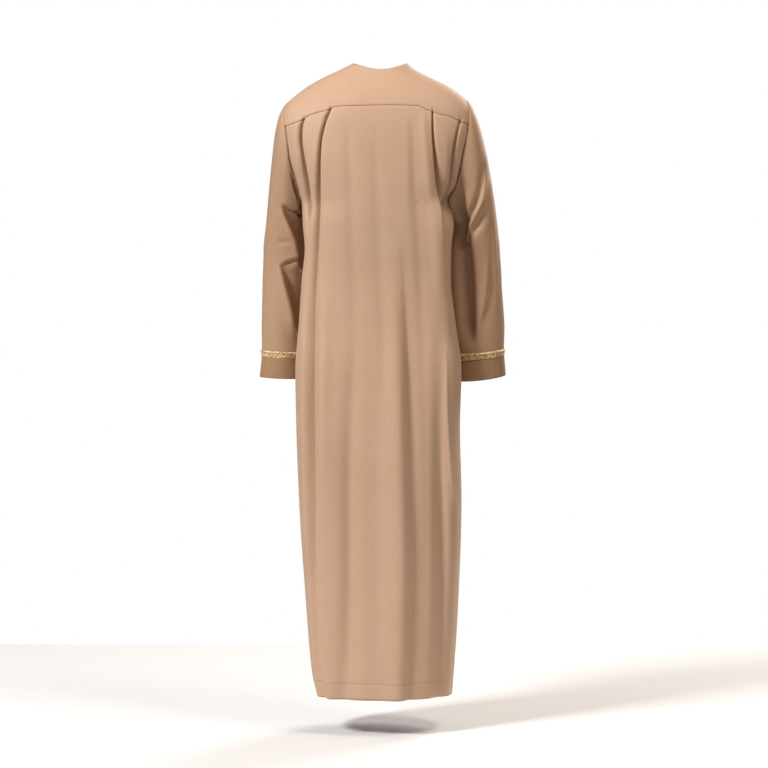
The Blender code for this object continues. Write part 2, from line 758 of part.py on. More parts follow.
def make_sleeve(side, cloth):
    """One sleeve, from the armhole to the cuff seam."""
    turns = armhole_turns()
    above = np.linspace(0, 1, SLEEVE_STEPS_ABOVE + 1)
    braid_top = 2 - (BRAID_HEIGHT + BRAID_ABOVE_SEAM) / (SLEEVE_TOP_RING - SLEEVE_END)
    below = np.append(np.linspace(1, braid_top, SLEEVE_STEPS_BELOW)[1:], 2)
    along = np.concatenate((above, below))[:, None] + 0 * turns
    turn = turns + 0 * along
    surface = sleeve(side)
    turn, along = trimmed(turn, along, surface, ("bottom", "top"))
    normals = sleeve_normal_of(surface, side, turn, along)
    faces = grid_faces(len(turns), along.shape[0], closed=True, flip=side == "left")
    cloth_wall(f"sleeve_{side}", surface(turn, along), normals, faces, cloth)


def ring_rows(side, heights, lift):
    """Points and outward directions of rings round a sleeve at heights."""
    turns = armhole_turns()
    heights = np.asarray(heights, float)[:, None] + 0 * turns
    turns = turns + 0 * heights

    def tube(turn, height):
        return sleeve_ring(side, turn, height)

    normals = surface_normal(tube, turns, heights, SMALL_TURN, SMALL_STEP) * -SIDE_SIGN[side]
    return tube(turns, heights) + normals * np.asarray(lift, float)[:, None, None], normals


def make_cuff(side, cloth):
    """Plain band at the sleeve's end, a little proud of the sleeve."""
    heights = np.linspace(SLEEVE_END - SEAM_HALF_GAP, CUFF_END, CUFF_STEPS + 1)
    points, normals = ring_rows(side, heights, np.full(len(heights), CUFF_LIFT))
    faces = grid_faces(points.shape[1], len(heights), closed=True, flip=side == "left")
    cloth_wall(f"cuff_{side}", points, normals, faces, cloth)


def make_braid(side, gold):
    """Braid round the sleeve's end: a raised cord along the top and a flatter looped row below it."""
    shares, rises = np.array(BRAID_PROFILE[::-1]).T
    heights = SLEEVE_END + BRAID_ABOVE_SEAM + BRAID_HEIGHT * shares
    points, normals = ring_rows(side, heights, np.zeros(len(heights)))
    thickness = np.repeat(BRAID_BASE + rises, points.shape[1])
    lift = LAID_ON_GAP + thickness
    faces = grid_faces(points.shape[1], len(heights), closed=True, flip=side == "left")
    cloth_wall(f"braid_{side}", points, normals, faces, gold, thickness, lift)


def main():
    """Build every piece of the robe."""
    clear_scene()
    cloth = make_material("tan_cloth", (0.52, 0.34, 0.21), 0.75)
    gold = make_material("gold_braid", (0.55, 0.36, 0.12), 0.45)
    button = make_material("tan_button", (0.42, 0.27, 0.16), 0.4)
    back_angles, back_heights = back_grid()
    yoke_angles, yoke_heights = yoke_grid(back_angles, back_heights)
    front_angles, front_heights = front_grid()
    make_back(back_angles, back_heights, cloth)
    make_yoke(yoke_angles, yoke_heights, cloth)
    make_front(front_angles, front_heights, cloth)
    make_placket(cloth)
    make_buttons(button)
    for side in SIDES:
        make_sleeve(side, cloth)
        make_cuff(side, cloth)
        make_braid(side, gold)


main()
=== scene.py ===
"""Looks of a thobe robe in plain tan cloth, hollow and worn by nobody.

The back faces -Y, +X is the wearer's right and +Z is up. Sizes are in millimetres until meshes are made.
"""

import math

import bmesh
import bpy
import numpy as np
from mathutils import Matrix, Vector


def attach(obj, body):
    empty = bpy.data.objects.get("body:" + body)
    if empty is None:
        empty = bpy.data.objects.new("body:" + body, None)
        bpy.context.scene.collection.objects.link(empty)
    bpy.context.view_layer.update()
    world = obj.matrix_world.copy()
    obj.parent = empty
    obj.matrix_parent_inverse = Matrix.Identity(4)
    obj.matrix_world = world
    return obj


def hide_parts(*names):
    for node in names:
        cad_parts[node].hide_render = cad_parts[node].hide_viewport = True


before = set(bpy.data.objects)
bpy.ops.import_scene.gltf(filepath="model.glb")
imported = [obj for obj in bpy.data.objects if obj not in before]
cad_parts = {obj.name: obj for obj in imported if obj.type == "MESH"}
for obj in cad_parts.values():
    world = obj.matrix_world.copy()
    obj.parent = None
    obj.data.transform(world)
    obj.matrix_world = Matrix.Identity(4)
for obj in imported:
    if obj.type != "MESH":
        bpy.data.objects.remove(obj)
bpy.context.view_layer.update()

MM = 0.001

# Camera, level with the middle of the picture, and the floor under the hanging robe, in metres
CAMERA_PLACE = (0.008, -5.0, -0.752)
VIEW_HALF_ANGLE = 10.22
SENSOR = 36.0
FLOOR_HEIGHT = -1.56
FLOOR_REACH = 1.6

# Cloth and seams
CLOTH = 0.9
SEAM_HALF_GAP = 0.17
LAID_ON_GAP = 0.3
SEAM_DIP = 1.3
SEAM_DIP_WIDTH = 3.0
SEWN = ("top", "start", "end")
HEM_DEPTH = 37
HEM_STITCH_DIP = 0.7
HEM_STITCH_WIDTH = 2.2

# Steps over which a surface's slopes are taken, in millimetres and degrees
SMALL_STEP = 0.4
SMALL_TURN = 0.2
RING_STEP = 0.5

# Body of the robe: level sections from the neck down to the hem, as half widths, depths from the middle
# of the neck, how far forward the widest line lies, and how square each half is (2 is an ellipse)
BODY_COLUMNS = ("height", "left", "right", "back", "front", "middle", "back_square", "front_square")
BODY_ROWS = (
    (0, 66, 64, 46, 50, 2, 2.0, 2.0),
    (-14, 93, 80, 53, 57, 2, 2.0, 2.0),
    (-33, 133, 115, 66, 64, 1, 2.1, 2.0),
    (-61, 180, 170, 86, 74, 0, 2.2, 2.1),
    (-90, 214, 203, 101, 86, -1, 2.35, 2.2),
    (-120, 238, 217, 111, 98, -3, 2.5, 2.3),
    (-156, 248, 223, 118, 109, -4, 2.6, 2.4),
    (-221, 238, 206, 125, 122, -6, 2.7, 2.5),
    (-284, 205, 184, 127, 127, -8, 2.7, 2.4),
    (-334, 184, 171, 126, 127, -12, 2.6, 2.2),
    (-380, 181, 171, 124, 124, -38, 2.6, 1.9),
    (-437, 176, 165, 120, 121, -50, 2.6, 1.8),
    (-508, 183, 164, 116, 120, -50, 2.6, 1.8),
    (-613, 190, 175, 118, 126, -50, 2.7, 1.8),
    (-719, 198, 188, 127, 133, -50, 2.8, 1.8),
    (-850, 196, 185, 137, 138, -42, 2.7, 2.0),
    (-1025, 190, 189, 140, 142, -28, 2.6, 2.2),
    (-1260, 175, 182, 138, 147, -14, 2.5, 2.3),
    (-1424, 161, 172, 137, 150, -8, 2.4, 2.3),
    (-1476, 149, 168, 136, 151, -6, 2.4, 2.3),
)
HEM_HEIGHT = -1476
NECK_DIP_BACK = 21
NECK_DIP_FRONT = 75

# Armholes and yoke
ARMPIT_HEIGHT = -334
ARMHOLE_TOP = {"left": -90, "right": -84}
ARMHOLE_BACK_TURN = 19
ARMHOLE_FRONT_TURN = 17
YOKE_SEAM_COLUMNS = ("across", "height")
YOKE_SEAM_ROWS = (
    (-222, -155),
    (-190, -147),
    (-160, -131),
    (-127, -123),
    (-100, -114),
    (0, -113),
    (85, -115),
    (104, -123),
    (136, -134),
    (160, -139),
    (188, -150),
    (204, -155),
)
YOKE_BACK_TURN = 62
YOKE_FRONT_TURN = -50
YOKE_NECK_ANGLE = 125
YOKE_SPOKE_AT_NECK = 62
YOKE_SEAM_GUESS = -130.0
YOKE_SEAM_ROUNDS = 12

# Folds. Each is a path as it is seen from behind or in front, with the depth of the groove along it, how
# far the cloth drops from its left to its right side, and the fold's width on each side. Left and right
# are those of a path that runs down. A groove of less than nothing is a ridge. A fold fades out where the
# body turns away to its side.
FOLD_COLUMNS = ("across", "height", "groove", "step", "left", "right")
FOLD_SAMPLES = 150
SHARPNESS = 2.6
STEP_STEEPNESS = 2
STEP_REACH = 3
FOLD_REACH = 4
POINTS_AT_ONCE = 20000
BODY_FADE = 5
BACK_FOLDS = {
    "armhole_fold_left": (
        (-174, -134, 0, 0, 3, 3),
        (-181, -148, 10, 1, 3, 3.5),
        (-185, -165, 13, 1, 3.5, 4),
        (-186, -189, 14, 1, 3.5, 5),
        (-183, -212, 15, 1, 4, 5),
        (-178, -247, 17, 1, 4, 5),
        (-173, -281, 18, 2, 5, 5),
        (-169, -316, 19, 3, 5, 5),
        (-167, -345, 16, 3, 5, 5),
        (-166, -370, 8, 1, 5, 5),
        (-166, -410, 0, 0, 6, 6),
    ),
    "armhole_ridge_left": (
        (-186, -140, 0, 0, 5, 5),
        (-197, -165, -2, 0, 5, 5),
        (-198, -195, -3, 0, 5, 5),
        (-192, -240, -3, 0, 5, 5),
        (-184, -290, -1, 0, 5, 5),
    ),
    "pleat_left": (
        (-113, -113, 0, 0, 3, 3),
        (-118, -124, 9, 1, 3, 3),
        (-125, -140, 12, 1, 3.5, 3),
        (-131, -160, 13, 1, 3.5, 3),
        (-138, -193, 14, 1, 4, 3),
        (-141, -230, 14, 2, 5, 3),
        (-143, -290, 14, 3, 7, 3.5),
        (-144, -340, 14, 3, 9, 4),
        (-146, -400, 14, 3, 12, 5),
        (-149, -480, 13, 2, 16, 7),
        (-153, -583, 13, 1, 20, 9),
        (-153, -743, 14, 0, 22, 10),
        (-153, -860, 14, 0, 22, 10),
        (-152, -1010, 14, 0, 22, 10),
        (-156, -1150, 14, 0, 20, 10),
        (-152, -1300, 14, 0, 18, 10),
        (-142, -1400, 12, 0, 18, 10),
        (-127, -1476, 10, 0, 18, 10),
    ),
    "left_edge_ridge": (
        (-174, -520, 0, 0, 5, 11),
        (-178, -640, -5, 0, 5, 11),
        (-178, -800, -8, 0, 5, 12),
        (-176, -950, -8, 0, 5, 12),
        (-172, -1100, -8, 0, 5, 11),
        (-163, -1260, -7, 0, 5, 10),
        (-152, -1400, -5, 0, 5, 10),
        (-140, -1476, -4, 0, 5, 8),
    ),
    "strip_left": (
        (-126, -460, 0, 0, 12, 16),
        (-130, -640, -4, 0, 12, 18),
        (-134, -800, -7, 0, 13, 20),
        (-134, -1060, -7, 0, 13, 20),
        (-137, -1300, -7, 0, 14, 20),
        (-122, -1476, -5, 0, 14, 20),
    ),
    "pleat_right": (
        (121, -117, 0, 0, 2.5, 3),
        (120, -130, 9, 1, 2.5, 3),
        (120, -160, 12, 1, 2.5, 3.5),
        (121, -190, 14, 1, 2.5, 5),
        (123, -216, 15, 1, 2.5, 7),
        (126, -250, 17, 1, 3, 11),
        (130, -285, 19, 2, 3.5, 15),
        (135, -318, 18, 6, 4, 17),
        (138, -338, 12, 11, 5, 20),
        (142, -360, 6, 14, 6, 22),
        (147, -400, 2, 14, 7, 24),
        (152, -450, 0, 12, 8, 24),
        (158, -510, 0, 8, 8, 22),
        (162, -580, 0, 3, 8, 18),
        (163, -660, 0, 0, 8, 12),
    ),
    "pleat_right_hollow": (
        (161, -280, 0, 0, 8, 8),
        (163, -305, 5, 0, 8, 8),
        (165, -335, 16, 0, 12, 8),
        (166, -375, 20, 0, 15, 8),
        (166, -420, 18, 0, 16, 8),
        (167, -480, 12, 0, 15, 8),
        (168, -560, 0, 0, 14, 8),
    ),
    "pleat_right_ridge": (
        (98, -118, 0, 0, 6, 8),
        (99, -150, -3, 0, 7, 9),
        (103, -210, -4, 0, 8, 10),
        (110, -290, -5, 0, 9, 11),
        (120, -380, -5, 0, 10, 12),
        (129, -470, -4, 0, 12, 13),
        (136, -600, 0, 0, 12, 14),
    ),
    "pleat_right_second": (
        (150, -135, 0, 0, 3, 3),
        (151, -190, -1, 0, 5, 5),
        (152, -250, -2, 0, 5, 5),
        (156, -300, 0, 0, 4, 4),
    ),
    "armhole_fold_right": (
        (190, -134, 0, 0, 3, 3),
        (184, -148, 9, 0, 3, 3),
        (178, -170, 13, 0, 3, 3),
        (172, -200, 15, 0, 3, 3.5),
        (168, -235, 17, 0, 4, 4),
        (167, -270, 20, 0, 5, 5),
        (167, -310, 20, 0, 6, 6),
        (168, -350, 12, 0, 7, 7),
        (168, -390, 0, 0, 7, 7),
    ),
    "skirt_groove": (
        (50, -420, 0, 0, 16, 30),
        (56, -520, 4, 1.5, 20, 45),
        (62, -628, 8, 3, 22, 60),
        (66, -720, 10, 4, 22, 60),
        (69, -850, 11, 4.5, 22, 60),
        (72, -972, 11, 4.5, 22, 60),
        (76, -1133, 12, 4.5, 22, 60),
        (75, -1240, 12, 4.5, 22, 60),
        (72, -1339, 11, 4.5, 22, 60),
        (66, -1476, 9, 4, 20, 60),
    ),
    "skirt_groove_ridge": (
        (30, -520, 0, 0, 30, 14),
        (35, -640, -4, 0, 36, 15),
        (39, -760, -7, 0, 38, 16),
        (43, -950, -8, 0, 38, 16),
        (48, -1140, -9, 0, 38, 16),
        (45, -1339, -9, 0, 38, 16),
        (40, -1476, -7, 0, 36, 15),
    ),
    "skirt_left_hollow": (
        (-64, -640, 0, 0, 16, 18),
        (-74, -800, 4, 3, 18, 18),
        (-79, -972, 7, 6, 20, 18),
        (-79, -1155, 8, 7, 20, 18),
        (-84, -1339, 8, 7, 20, 18),
        (-92, -1476, 6, 5, 18, 18),
    ),
    "skirt_middle_hollow": (
        (0, -520, 0, 0, 24, 24),
        (-2, -760, 2, 0, 26, 24),
        (-4, -1100, 4, 0, 26, 24),
        (0, -1476, 4, 0, 26, 24),
    ),
    "skirt_right_edge": (
        (153, -660, 0, 0, 4, 4),
        (155, -789, -3, 0, 4, 4),
        (161, -903, -3, 0, 4, 4),
        (170, -995, -3, 0, 4, 4),
        (179, -1070, -1, 0, 5, 5),
        (181, -1200, 0, 0, 5, 5),
    ),
    "skirt_right_hollow": (
        (136, -600, 0, 0, 22, 12),
        (142, -860, 11, 1, 24, 12),
        (147, -1018, 17, 1, 24, 12),
        (150, -1200, 18, 1, 24, 12),
        (146, -1380, 16, 1, 22, 12),
        (140, -1476, 11, 0, 20, 12),
    ),
    "back_drape_left": (
        (-76, -140, 0, 0, 8, 9),
        (-74, -220, 2, 0.4, 9, 11),
        (-70, -340, 2.4, 0.6, 11, 14),
        (-64, -520, 2.4, 0.6, 13, 16),
        (-60, -700, 1.4, 0, 16, 16),
        (-58, -820, 0, 0, 16, 16),
    ),
    "back_drape_middle": (
        (-14, -150, 0, 0, 9, 12),
        (-12, -240, 1.8, 0.3, 10, 14),
        (-8, -400, 2.4, 0.5, 12, 18),
        (6, -640, 2.4, 0.4, 12, 18),
        (12, -900, 0, 0, 12, 18),
    ),
    "back_drape_right": (
        (70, -128, 0, 0, 7, 8),
        (72, -180, 2.2, 0.8, 7, 9),
        (76, -300, 3, 1.2, 9, 11),
        (88, -480, 2.6, 1, 10, 12),
        (102, -760, 2.4, 0, 10, 12),
        (108, -1100, 2.4, 0, 12, 12),
        (106, -1476, 2.4, 0, 12, 12),
    ),
}
FRONT_FOLDS = {
    "front_left_hollow": (
        (-36, -420, 0, 0, 20, 20),
        (-52, -620, 4, 0, 20, 14),
        (-64, -900, 9, 2, 18, 10),
        (-72, -1200, 11, 3, 18, 9),
        (-70, -1476, 9, 3, 18, 9),
    ),
    "front_right_hollow": (
        (56, -480, 0, 0, 22, 22),
        (70, -700, 5, 0, 14, 22),
        (76, -950, 9, -3, 10, 20),
        (84, -1250, 10, -3, 10, 20),
        (86, -1476, 9, -3, 10, 20),
    ),
    "front_middle_hollow": (
        (8, -700, 0, 0, 24, 20),
        (10, -1000, 4, 0, 24, 16),
        (4, -1250, 6, 0, 22, 14),
        (0, -1476, 6, 0, 22, 14),
    ),
    "chest_fold_left": (
        (-128, -170, 0, 0, 6, 8),
        (-140, -230, 5, 0, 6, 9),
        (-148, -300, 8, 0, 6, 12),
        (-150, -370, 7, 0, 8, 14),
        (-146, -480, 3, 0, 10, 16),
        (-142, -600, 0, 0, 10, 16),
    ),
    "chest_fold_right": (
        (120, -165, 0, 0, 8, 6),
        (132, -235, 5, 0, 9, 6),
        (140, -300, 8, 0, 12, 6),
        (141, -380, 6, 0, 14, 8),
        (136, -500, 2, 0, 16, 10),
        (130, -620, 0, 0, 16, 10),
    ),
    "front_side_left": (
        (-128, -620, 0, 0, 14, 10),
        (-132, -900, 4, 0, 14, 10),
        (-126, -1200, 6, 0, 14, 10),
        (-116, -1476, 5, 0, 14, 10),
    ),
    "front_side_right": (
        (126, -700, 0, 0, 10, 14),
        (134, -950, 3, 0, 10, 14),
        (138, -1250, 5, 0, 10, 14),
        (134, -1476, 4, 0, 10, 14),
    ),
}

# Sleeves: rings from under the armpit to the cuff's edge
SLEEVE_COLUMNS = ("height", "out", "forward", "half_width", "half_depth", "outer_rise", "front_rise")
SLEEVE_ROWS = {
    "left": (
        (-380, 223, 13, 47, 61, 0, 0),
        (-437, 222, 22, 54, 59, 0, 0),
        (-508, 225, 28, 53.5, 56, 0, 1),
        (-613, 228, 34, 53, 53, 1, 3),
        (-688, 230, 40, 51, 50, 2, 4),
        (-736, 233, 43, 53, 52, 2, 4),
    ),
    "right": (
        (-380, 221, 11, 54, 60, 0, 0),
        (-437, 219.5, 18, 61.5, 56, 0, 0),
        (-508, 221, 24, 64.5, 52, 1, 1),
        (-613, 229, 30, 63.5, 48, 3, 4),
        (-688, 232, 36, 60, 45, 6, 7),
        (-736, 235.5, 39, 60.5, 47, 7, 8),
    ),
}
SLEEVE_TOP_RING = -380
SLEEVE_TOP_LENGTH = 150
SLEEVE_LOOK_DOWN = 5.0
SLEEVE_END = -688
CUFF_END = -736
CUFF_CLOTH = 1.4
CUFF_LIFT = 0.4
CUFF_STITCH_HEIGHT = 6
CUFF_STITCH_DIP = 0.5
CUFF_STITCH_WIDTH = 2.5
LEAVING_COLUMNS = ("outward", "backward", "down", "arriving")
LEAVING_ROWS = {
    "top": (110, 0, 40, 250),
    "side": (50, 8, 75, 150),
    "armpit": (4, 0, 42, 45),
}

# Creases of the sleeves, in the same form as the folds. They fade in below the armhole, out above the cuff
# seam, and out where the sleeve turns away to its sides.
CREASE_FADE_IN = 8
CREASE_END = 1.9
CREASE_FADE_OUT = 6
CREASE_SIDE_FADE = 3
SLEEVE_BACK_CREASES = {
    "left": {
        "armhole_notch": (
            (-205, -262, 0, 0, 3, 3),
            (-201, -280, 10, 1, 3, 4),
            (-197, -300, 15, 2, 3, 5),
            (-190, -323, 17, 3, 3, 6),
            (-186, -345, 12, 1, 3, 6),
            (-184, -362, 0, 0, 3, 6),
        ),
        "elbow_top": (
            (-231, -336, 0, 0, 3, 4),
            (-222, -342, 3, -1, 3, 4),
            (-208, -348, 6, -3, 3, 5),
            (-184, -352, 7, -3, 3, 5),
        ),
        "elbow_side": (
            (-231, -337, 0, 0, 3, 8),
            (-222, -356, 6, 5, 4, 12),
            (-211, -378, 10, 11, 5, 16),
            (-201, -400, 14, 15, 6, 18),
            (-193, -420, 18, 15, 6, 18),
            (-188, -445, 20, 12, 6, 16),
            (-185, -472, 15, 7, 6, 14),
            (-183, -495, 0, 0, 6, 12),
        ),
        "elbow_soft": (
            (-241, -420, 0, 0, 5, 5),
            (-225, -421, 3, 0, 5, 5),
            (-206, -423, 0, 0, 5, 5),
        ),
        "forearm_top": (
            (-236, -478, 0, 0, 4, 4),
            (-222, -471, 4, -2, 4, 4),
            (-206, -464, 6, -3, 4, 4),
            (-184, -456, 5, -3, 4, 4),
        ),
        "forearm_side": (
            (-236, -473, 0, 0, 3, 8),
            (-229, -488, 6, 5, 4, 12),
            (-220, -514, 11, 11, 5, 16),
            (-211, -545, 14, 15, 6, 20),
            (-203, -580, 16, 16, 6, 20),
            (-197, -615, 16, 12, 6, 18),
            (-192, -648, 10, 6, 6, 14),
            (-189, -672, 0, 0, 6, 12),
        ),
    },
    "right": {
        "swept_ridge": (
            (247, -205, 0, 0, 5, 5),
            (246, -242, -2, 0, 4, 4),
            (243, -288, -4, 0, 4, 4),
            (236, -323, -5, 0, 4, 4),
            (222, -354, -6, 0, 4, 4),
            (208, -381, -6, 0, 4, 4),
            (194, -400, -5, 0, 4, 4),
            (180, -418, -3, 0, 4, 4),
        ),
        "swept_shadow_inside": (
            (238, -230, 0, 0, 6, 5),
            (234, -290, 5, 0, 8, 5),
            (224, -330, 9, 1, 9, 5),
            (208, -362, 11, 1, 10, 5),
            (192, -384, 10, 1, 10, 5),
        ),
        "swept_shadow_outside": (
            (256, -290, 0, 0, 6, 6),
            (249, -330, 5, 0, 6, 7),
            (234, -372, 7, 0, 6, 8),
            (212, -402, 7, 0, 6, 8),
            (192, -422, 5, 0, 6, 8),
        ),
        "armpit_pit": (
            (182, -300, 0, 0, 8, 7),
            (180, -335, 14, 0, 9, 8),
            (178, -370, 24, 0, 10, 9),
            (178, -395, 26, 0, 10, 10),
            (180, -418, 16, 0, 10, 8),
            (184, -440, 0, 0, 9, 7),
        ),
        "outer_ridge": (
            (262, -340, 0, 0, 4, 4),
            (267, -430, -3, 0, 4, 4),
            (271, -540, -2, 0, 4, 4),
            (271, -600, 0, 0, 4, 4),
        ),
        "forearm_ridge": (
            (251, -450, 0, 0, 8, 4),
            (249, -510, -4, 2, 9, 5),
            (244, -565, -4, 3, 10, 5),
            (232, -612, -2, 1, 9, 5),
            (222, -650, 0, 0, 8, 5),
        ),
        "inner_hollow": (
            (184, -270, 0, 0, 14, 8),
            (188, -320, 10, 0, 16, 9),
            (193, -370, 20, 0, 20, 9),
            (200, -430, 27, 0, 26, 10),
            (206, -500, 29, 0, 28, 10),
            (211, -570, 28, 0, 28, 10),
            (212, -640, 20, 0, 26, 10),
            (210, -690, 6, 0, 22, 10),
        ),
    },
}
SLEEVE_FRONT_CREASES = {
    "left": {
        "elbow_front": (
            (-262, -420, 0, 0, 7, 7),
            (-240, -448, 6, 0, 7, 7),
            (-214, -466, 7, 0, 7, 7),
            (-188, -474, 3, 0, 7, 7),
        ),
        "armpit_front": (
            (-214, -230, 0, 0, 6, 6),
            (-206, -290, 6, 0, 6, 8),
            (-200, -350, 5, 0, 6, 8),
            (-198, -400, 0, 0, 6, 8),
        ),
        "forearm_front": (
            (-252, -540, 0, 0, 7, 8),
            (-234, -580, 5, 0, 7, 8),
            (-212, -610, 4, 0, 7, 8),
            (-196, -640, 0, 0, 7, 8),
        ),
    },
    "right": {
        "elbow_front": (
            (258, -410, 0, 0, 7, 7),
            (236, -440, 6, 0, 7, 7),
            (208, -462, 7, 0, 7, 7),
            (184, -470, 3, 0, 7, 7),
        ),
        "armpit_front": (
            (206, -225, 0, 0, 6, 6),
            (198, -290, 6, 0, 8, 6),
            (192, -350, 5, 0, 8, 6),
            (190, -400, 0, 0, 8, 6),
        ),
        "forearm_front": (
            (262, -520, 0, 0, 8, 8),
            (240, -570, 5, 0, 8, 8),
            (210, -604, 4, 0, 8, 8),
            (196, -640, 0, 0, 8, 8),
        ),
    },
}

# Trimming: the braid's band and cords, the slit, its placket and where the buttons sit
BRAID_HEIGHT = 15
BRAID_ABOVE_SEAM = 0.5
BRAID_BACKING = 0.7
BRAID_ROWS = 8
BRAID_TURNS = 360
CORD_RADIUS = 2.3
CORD_STRAND_RADIUS = 1.25
CORD_TWIST = 11.0
CORD_STRANDS = 3
CORD_BELOW_TOP = 0.3
CORD_LIFT = 0.6
CORD_STEP = 1.1
CORD_SIDES = 7
LOOP_PITCH = 5.4
LOOP_LENGTH = 6.21
LOOP_WIDTH = 6.4
LOOP_LIFT = 0.3
LOOP_THREAD_RADIUS = 0.75
LOOP_CORNERS = 14
LOOP_THREAD_SIDES = 6
EDGE_RADIUS = 0.8
EDGE_STRAND_OFFSET = 0.4
EDGE_STRAND_RADIUS = 0.44
EDGE_TWIST = 4.4
EDGE_LIFT = 0.1
EDGE_STEP = 0.9
FRONT_MIDDLE = 180.0
SLIT_LENGTH = 310
SLIT_END = -NECK_DIP_FRONT - SLIT_LENGTH
SLIT_HALF_GAP = 0.3
PLACKET_WIDTH = 32
PLACKET_TOP = -NECK_DIP_FRONT - LAID_ON_GAP
PLACKET_PAST_SLIT = 22
PLACKET_BOTTOM = SLIT_END - PLACKET_PAST_SLIT
PLACKET_CROWN = 0.5
PLACKET_ROWS = 90
PLACKET_COLUMNS = 13
BUTTON_COUNT = 4
BUTTON_SPACING = 82
FIRST_BUTTON_BELOW_NECK = 22
BUTTON_LIFT = 0.55

# A button's section: how far in from its edge each corner lies, and its height over the underside
BUTTON_RADIUS = 5.8
BUTTON_THICKNESS = 2.6
BUTTON_DISH = 1.9
BUTTON_COLUMNS = ("inset", "height")
BUTTON_ROWS = (
    (BUTTON_RADIUS, 0.0),
    (0.9, 0.0),
    (0.2, 0.4),
    (0.0, 1.1),
    (0.1, 2.1),
    (0.5, 2.52),
    (0.8, BUTTON_THICKNESS),
    (1.2, 2.5),
    (1.7, BUTTON_DISH),
    (BUTTON_RADIUS, BUTTON_DISH),
)
BUTTON_SIDES = 36
BUTTON_CREASE = 35
BUTTON_HOLE_RADIUS = 0.75
BUTTON_HOLE_PLACE = 1.5
BUTTON_HOLE_SIDES = 14
BUTTON_THREAD_WIDTH = 0.45
BUTTON_THREAD_HEIGHT = 0.4
BUTTON_THREAD_LIFT = 0.15
BUTTON_THREAD_TURNS = (45, 135)

# Stitches, and where their rows run beside the seams
STITCH_PITCH = 3.2
STITCH_LENGTH = 2.4
THREAD_RADIUS = 0.28
STITCH_LIFT = 0.14
ABOVE_YOKE_SEAM = 2.6
BESIDE_ARMHOLE = (2.2, 7.4)
ARMHOLE_STITCH_END = 176
ARMHOLE_STITCH_POINTS = 260
TURN_FOR_EACH_MM = 0.32
BESIDE_FRONT_SEAM = 0.9
FRONT_SEAM_ENDS = (0.03, 0.97)
FRONT_SEAM_POINTS = 80
HEM_STITCH_SINK = 0.6
HEM_STITCH_POINTS = 720
PLACKET_STITCH_INSET = 2.5
PLACKET_STITCH_TOP = 1
PLACKET_STITCH_BOTTOM = 3
PLACKET_SIDE_LIFT = 0.35
PLACKET_END_LIFT = 0.5
PLACKET_END_POINTS = 12
CUFF_STITCH_LIFT = 0.1

# How finely each panel is divided, and how its rows and columns crowd beside folds, seams and the hem
ROWS_BELOW_ARMPIT = 180
ROWS_ABOVE_ARMPIT = 44
YOKE_ARMHOLE_STEPS = 26
YOKE_STEPS_DOWN = 26
FRONT_NECK_STEPS = 26
BACK_COLUMN_COUNT = 150
FRONT_COLUMN_COUNT = 2 * (YOKE_STEPS_DOWN + FRONT_NECK_STEPS)
SLEEVE_TURNS = 120
SLEEVE_STEPS_ABOVE = 64
SLEEVE_STEPS_BELOW = 90
CUFF_STEPS = 12
ROW_SAMPLES = 361
CROWD_GAIN = 3.2
CROWD_WIDTH = 10.0
HEM_ROWS = (-4, -2, 0, 2, 4)
SEAM_STEPS = np.array((0.006, 0.013, 0.022, 0.034))
CLEAR_OF_SEAM = 1.3 * SEAM_STEPS[-1]
SHARP_FOLDS = ("armhole_fold_left", "pleat_left", "pleat_right", "armhole_fold_right", "skirt_groove")

# Patterns of the materials: lengths in millimetres, and how many patches a noise has in a metre, or across
# the whole floor for the paper. A wave texture's own turn is WAVE_TURN long at scale 1.
WAVE_TURN = math.tau / 20
THREAD_PITCH = 1.1
SLUB_LENGTH = 26.0
SLUB_THICKNESS = 1.6
CLOTH_PATCHES = 5.0
CLOTH_RELIEF = 0.08
SLUB_RELIEF_SHARE = 0.8
WEAVE_BLUR = 0.75
CLOTH_COLOURS = {"dark": "#BC9A80", "light": "#C6A68D", "between": "#AE8C70"}
FUZZ_PATCHES = 900.0
STRAND_PITCH = 0.9
# Painted glints: bright patches in the braid thread's colour stand in for small highlights.
PAINTED_GLINT_PATCHES = 170.0
BRAID_RELIEF = 0.15
HORN_PATCHES = 220.0
PAPER_PATCHES = 3.0
# Painted shade: the sleeves and cuffs get the body's poplin drawn darker and warmer, for the shade they hang
# in.
SLEEVE_PAINTED_SHADE = 0.86
CUFF_PAINTED_SHADE = 0.69
PAINTED_SHADE_GREEN_POWER = 1.3
PAINTED_SHADE_BLUE_POWER = 1.8

# Lights and surroundings
LIGHT_COLUMNS = ("name", "place", "target", "size", "power", "colour")
LIGHT_ROWS = (
    ("key_light", (-3.15, -2.9, 2.45), (0, 0, -0.5), 1.2, 300, "#FFFDFB"),
    ("top_light", (1.6, -1.4, 2.3), (0.1, 0, -0.2), 1.2, 60, "#FFF1E4"),
    ("front_light", (2.6, 3.6, 1.8), (0, 0, -0.6), 2.4, 200, "#FFF8F0"),
)
AROUND_COLOUR = "#FFECDC"
AROUND_STRENGTH = 0.08
PAPER_GLOW = 0.12

SIDES = ("left", "right")
SIDE_SIGN = {"left": -1.0, "right": 1.0}


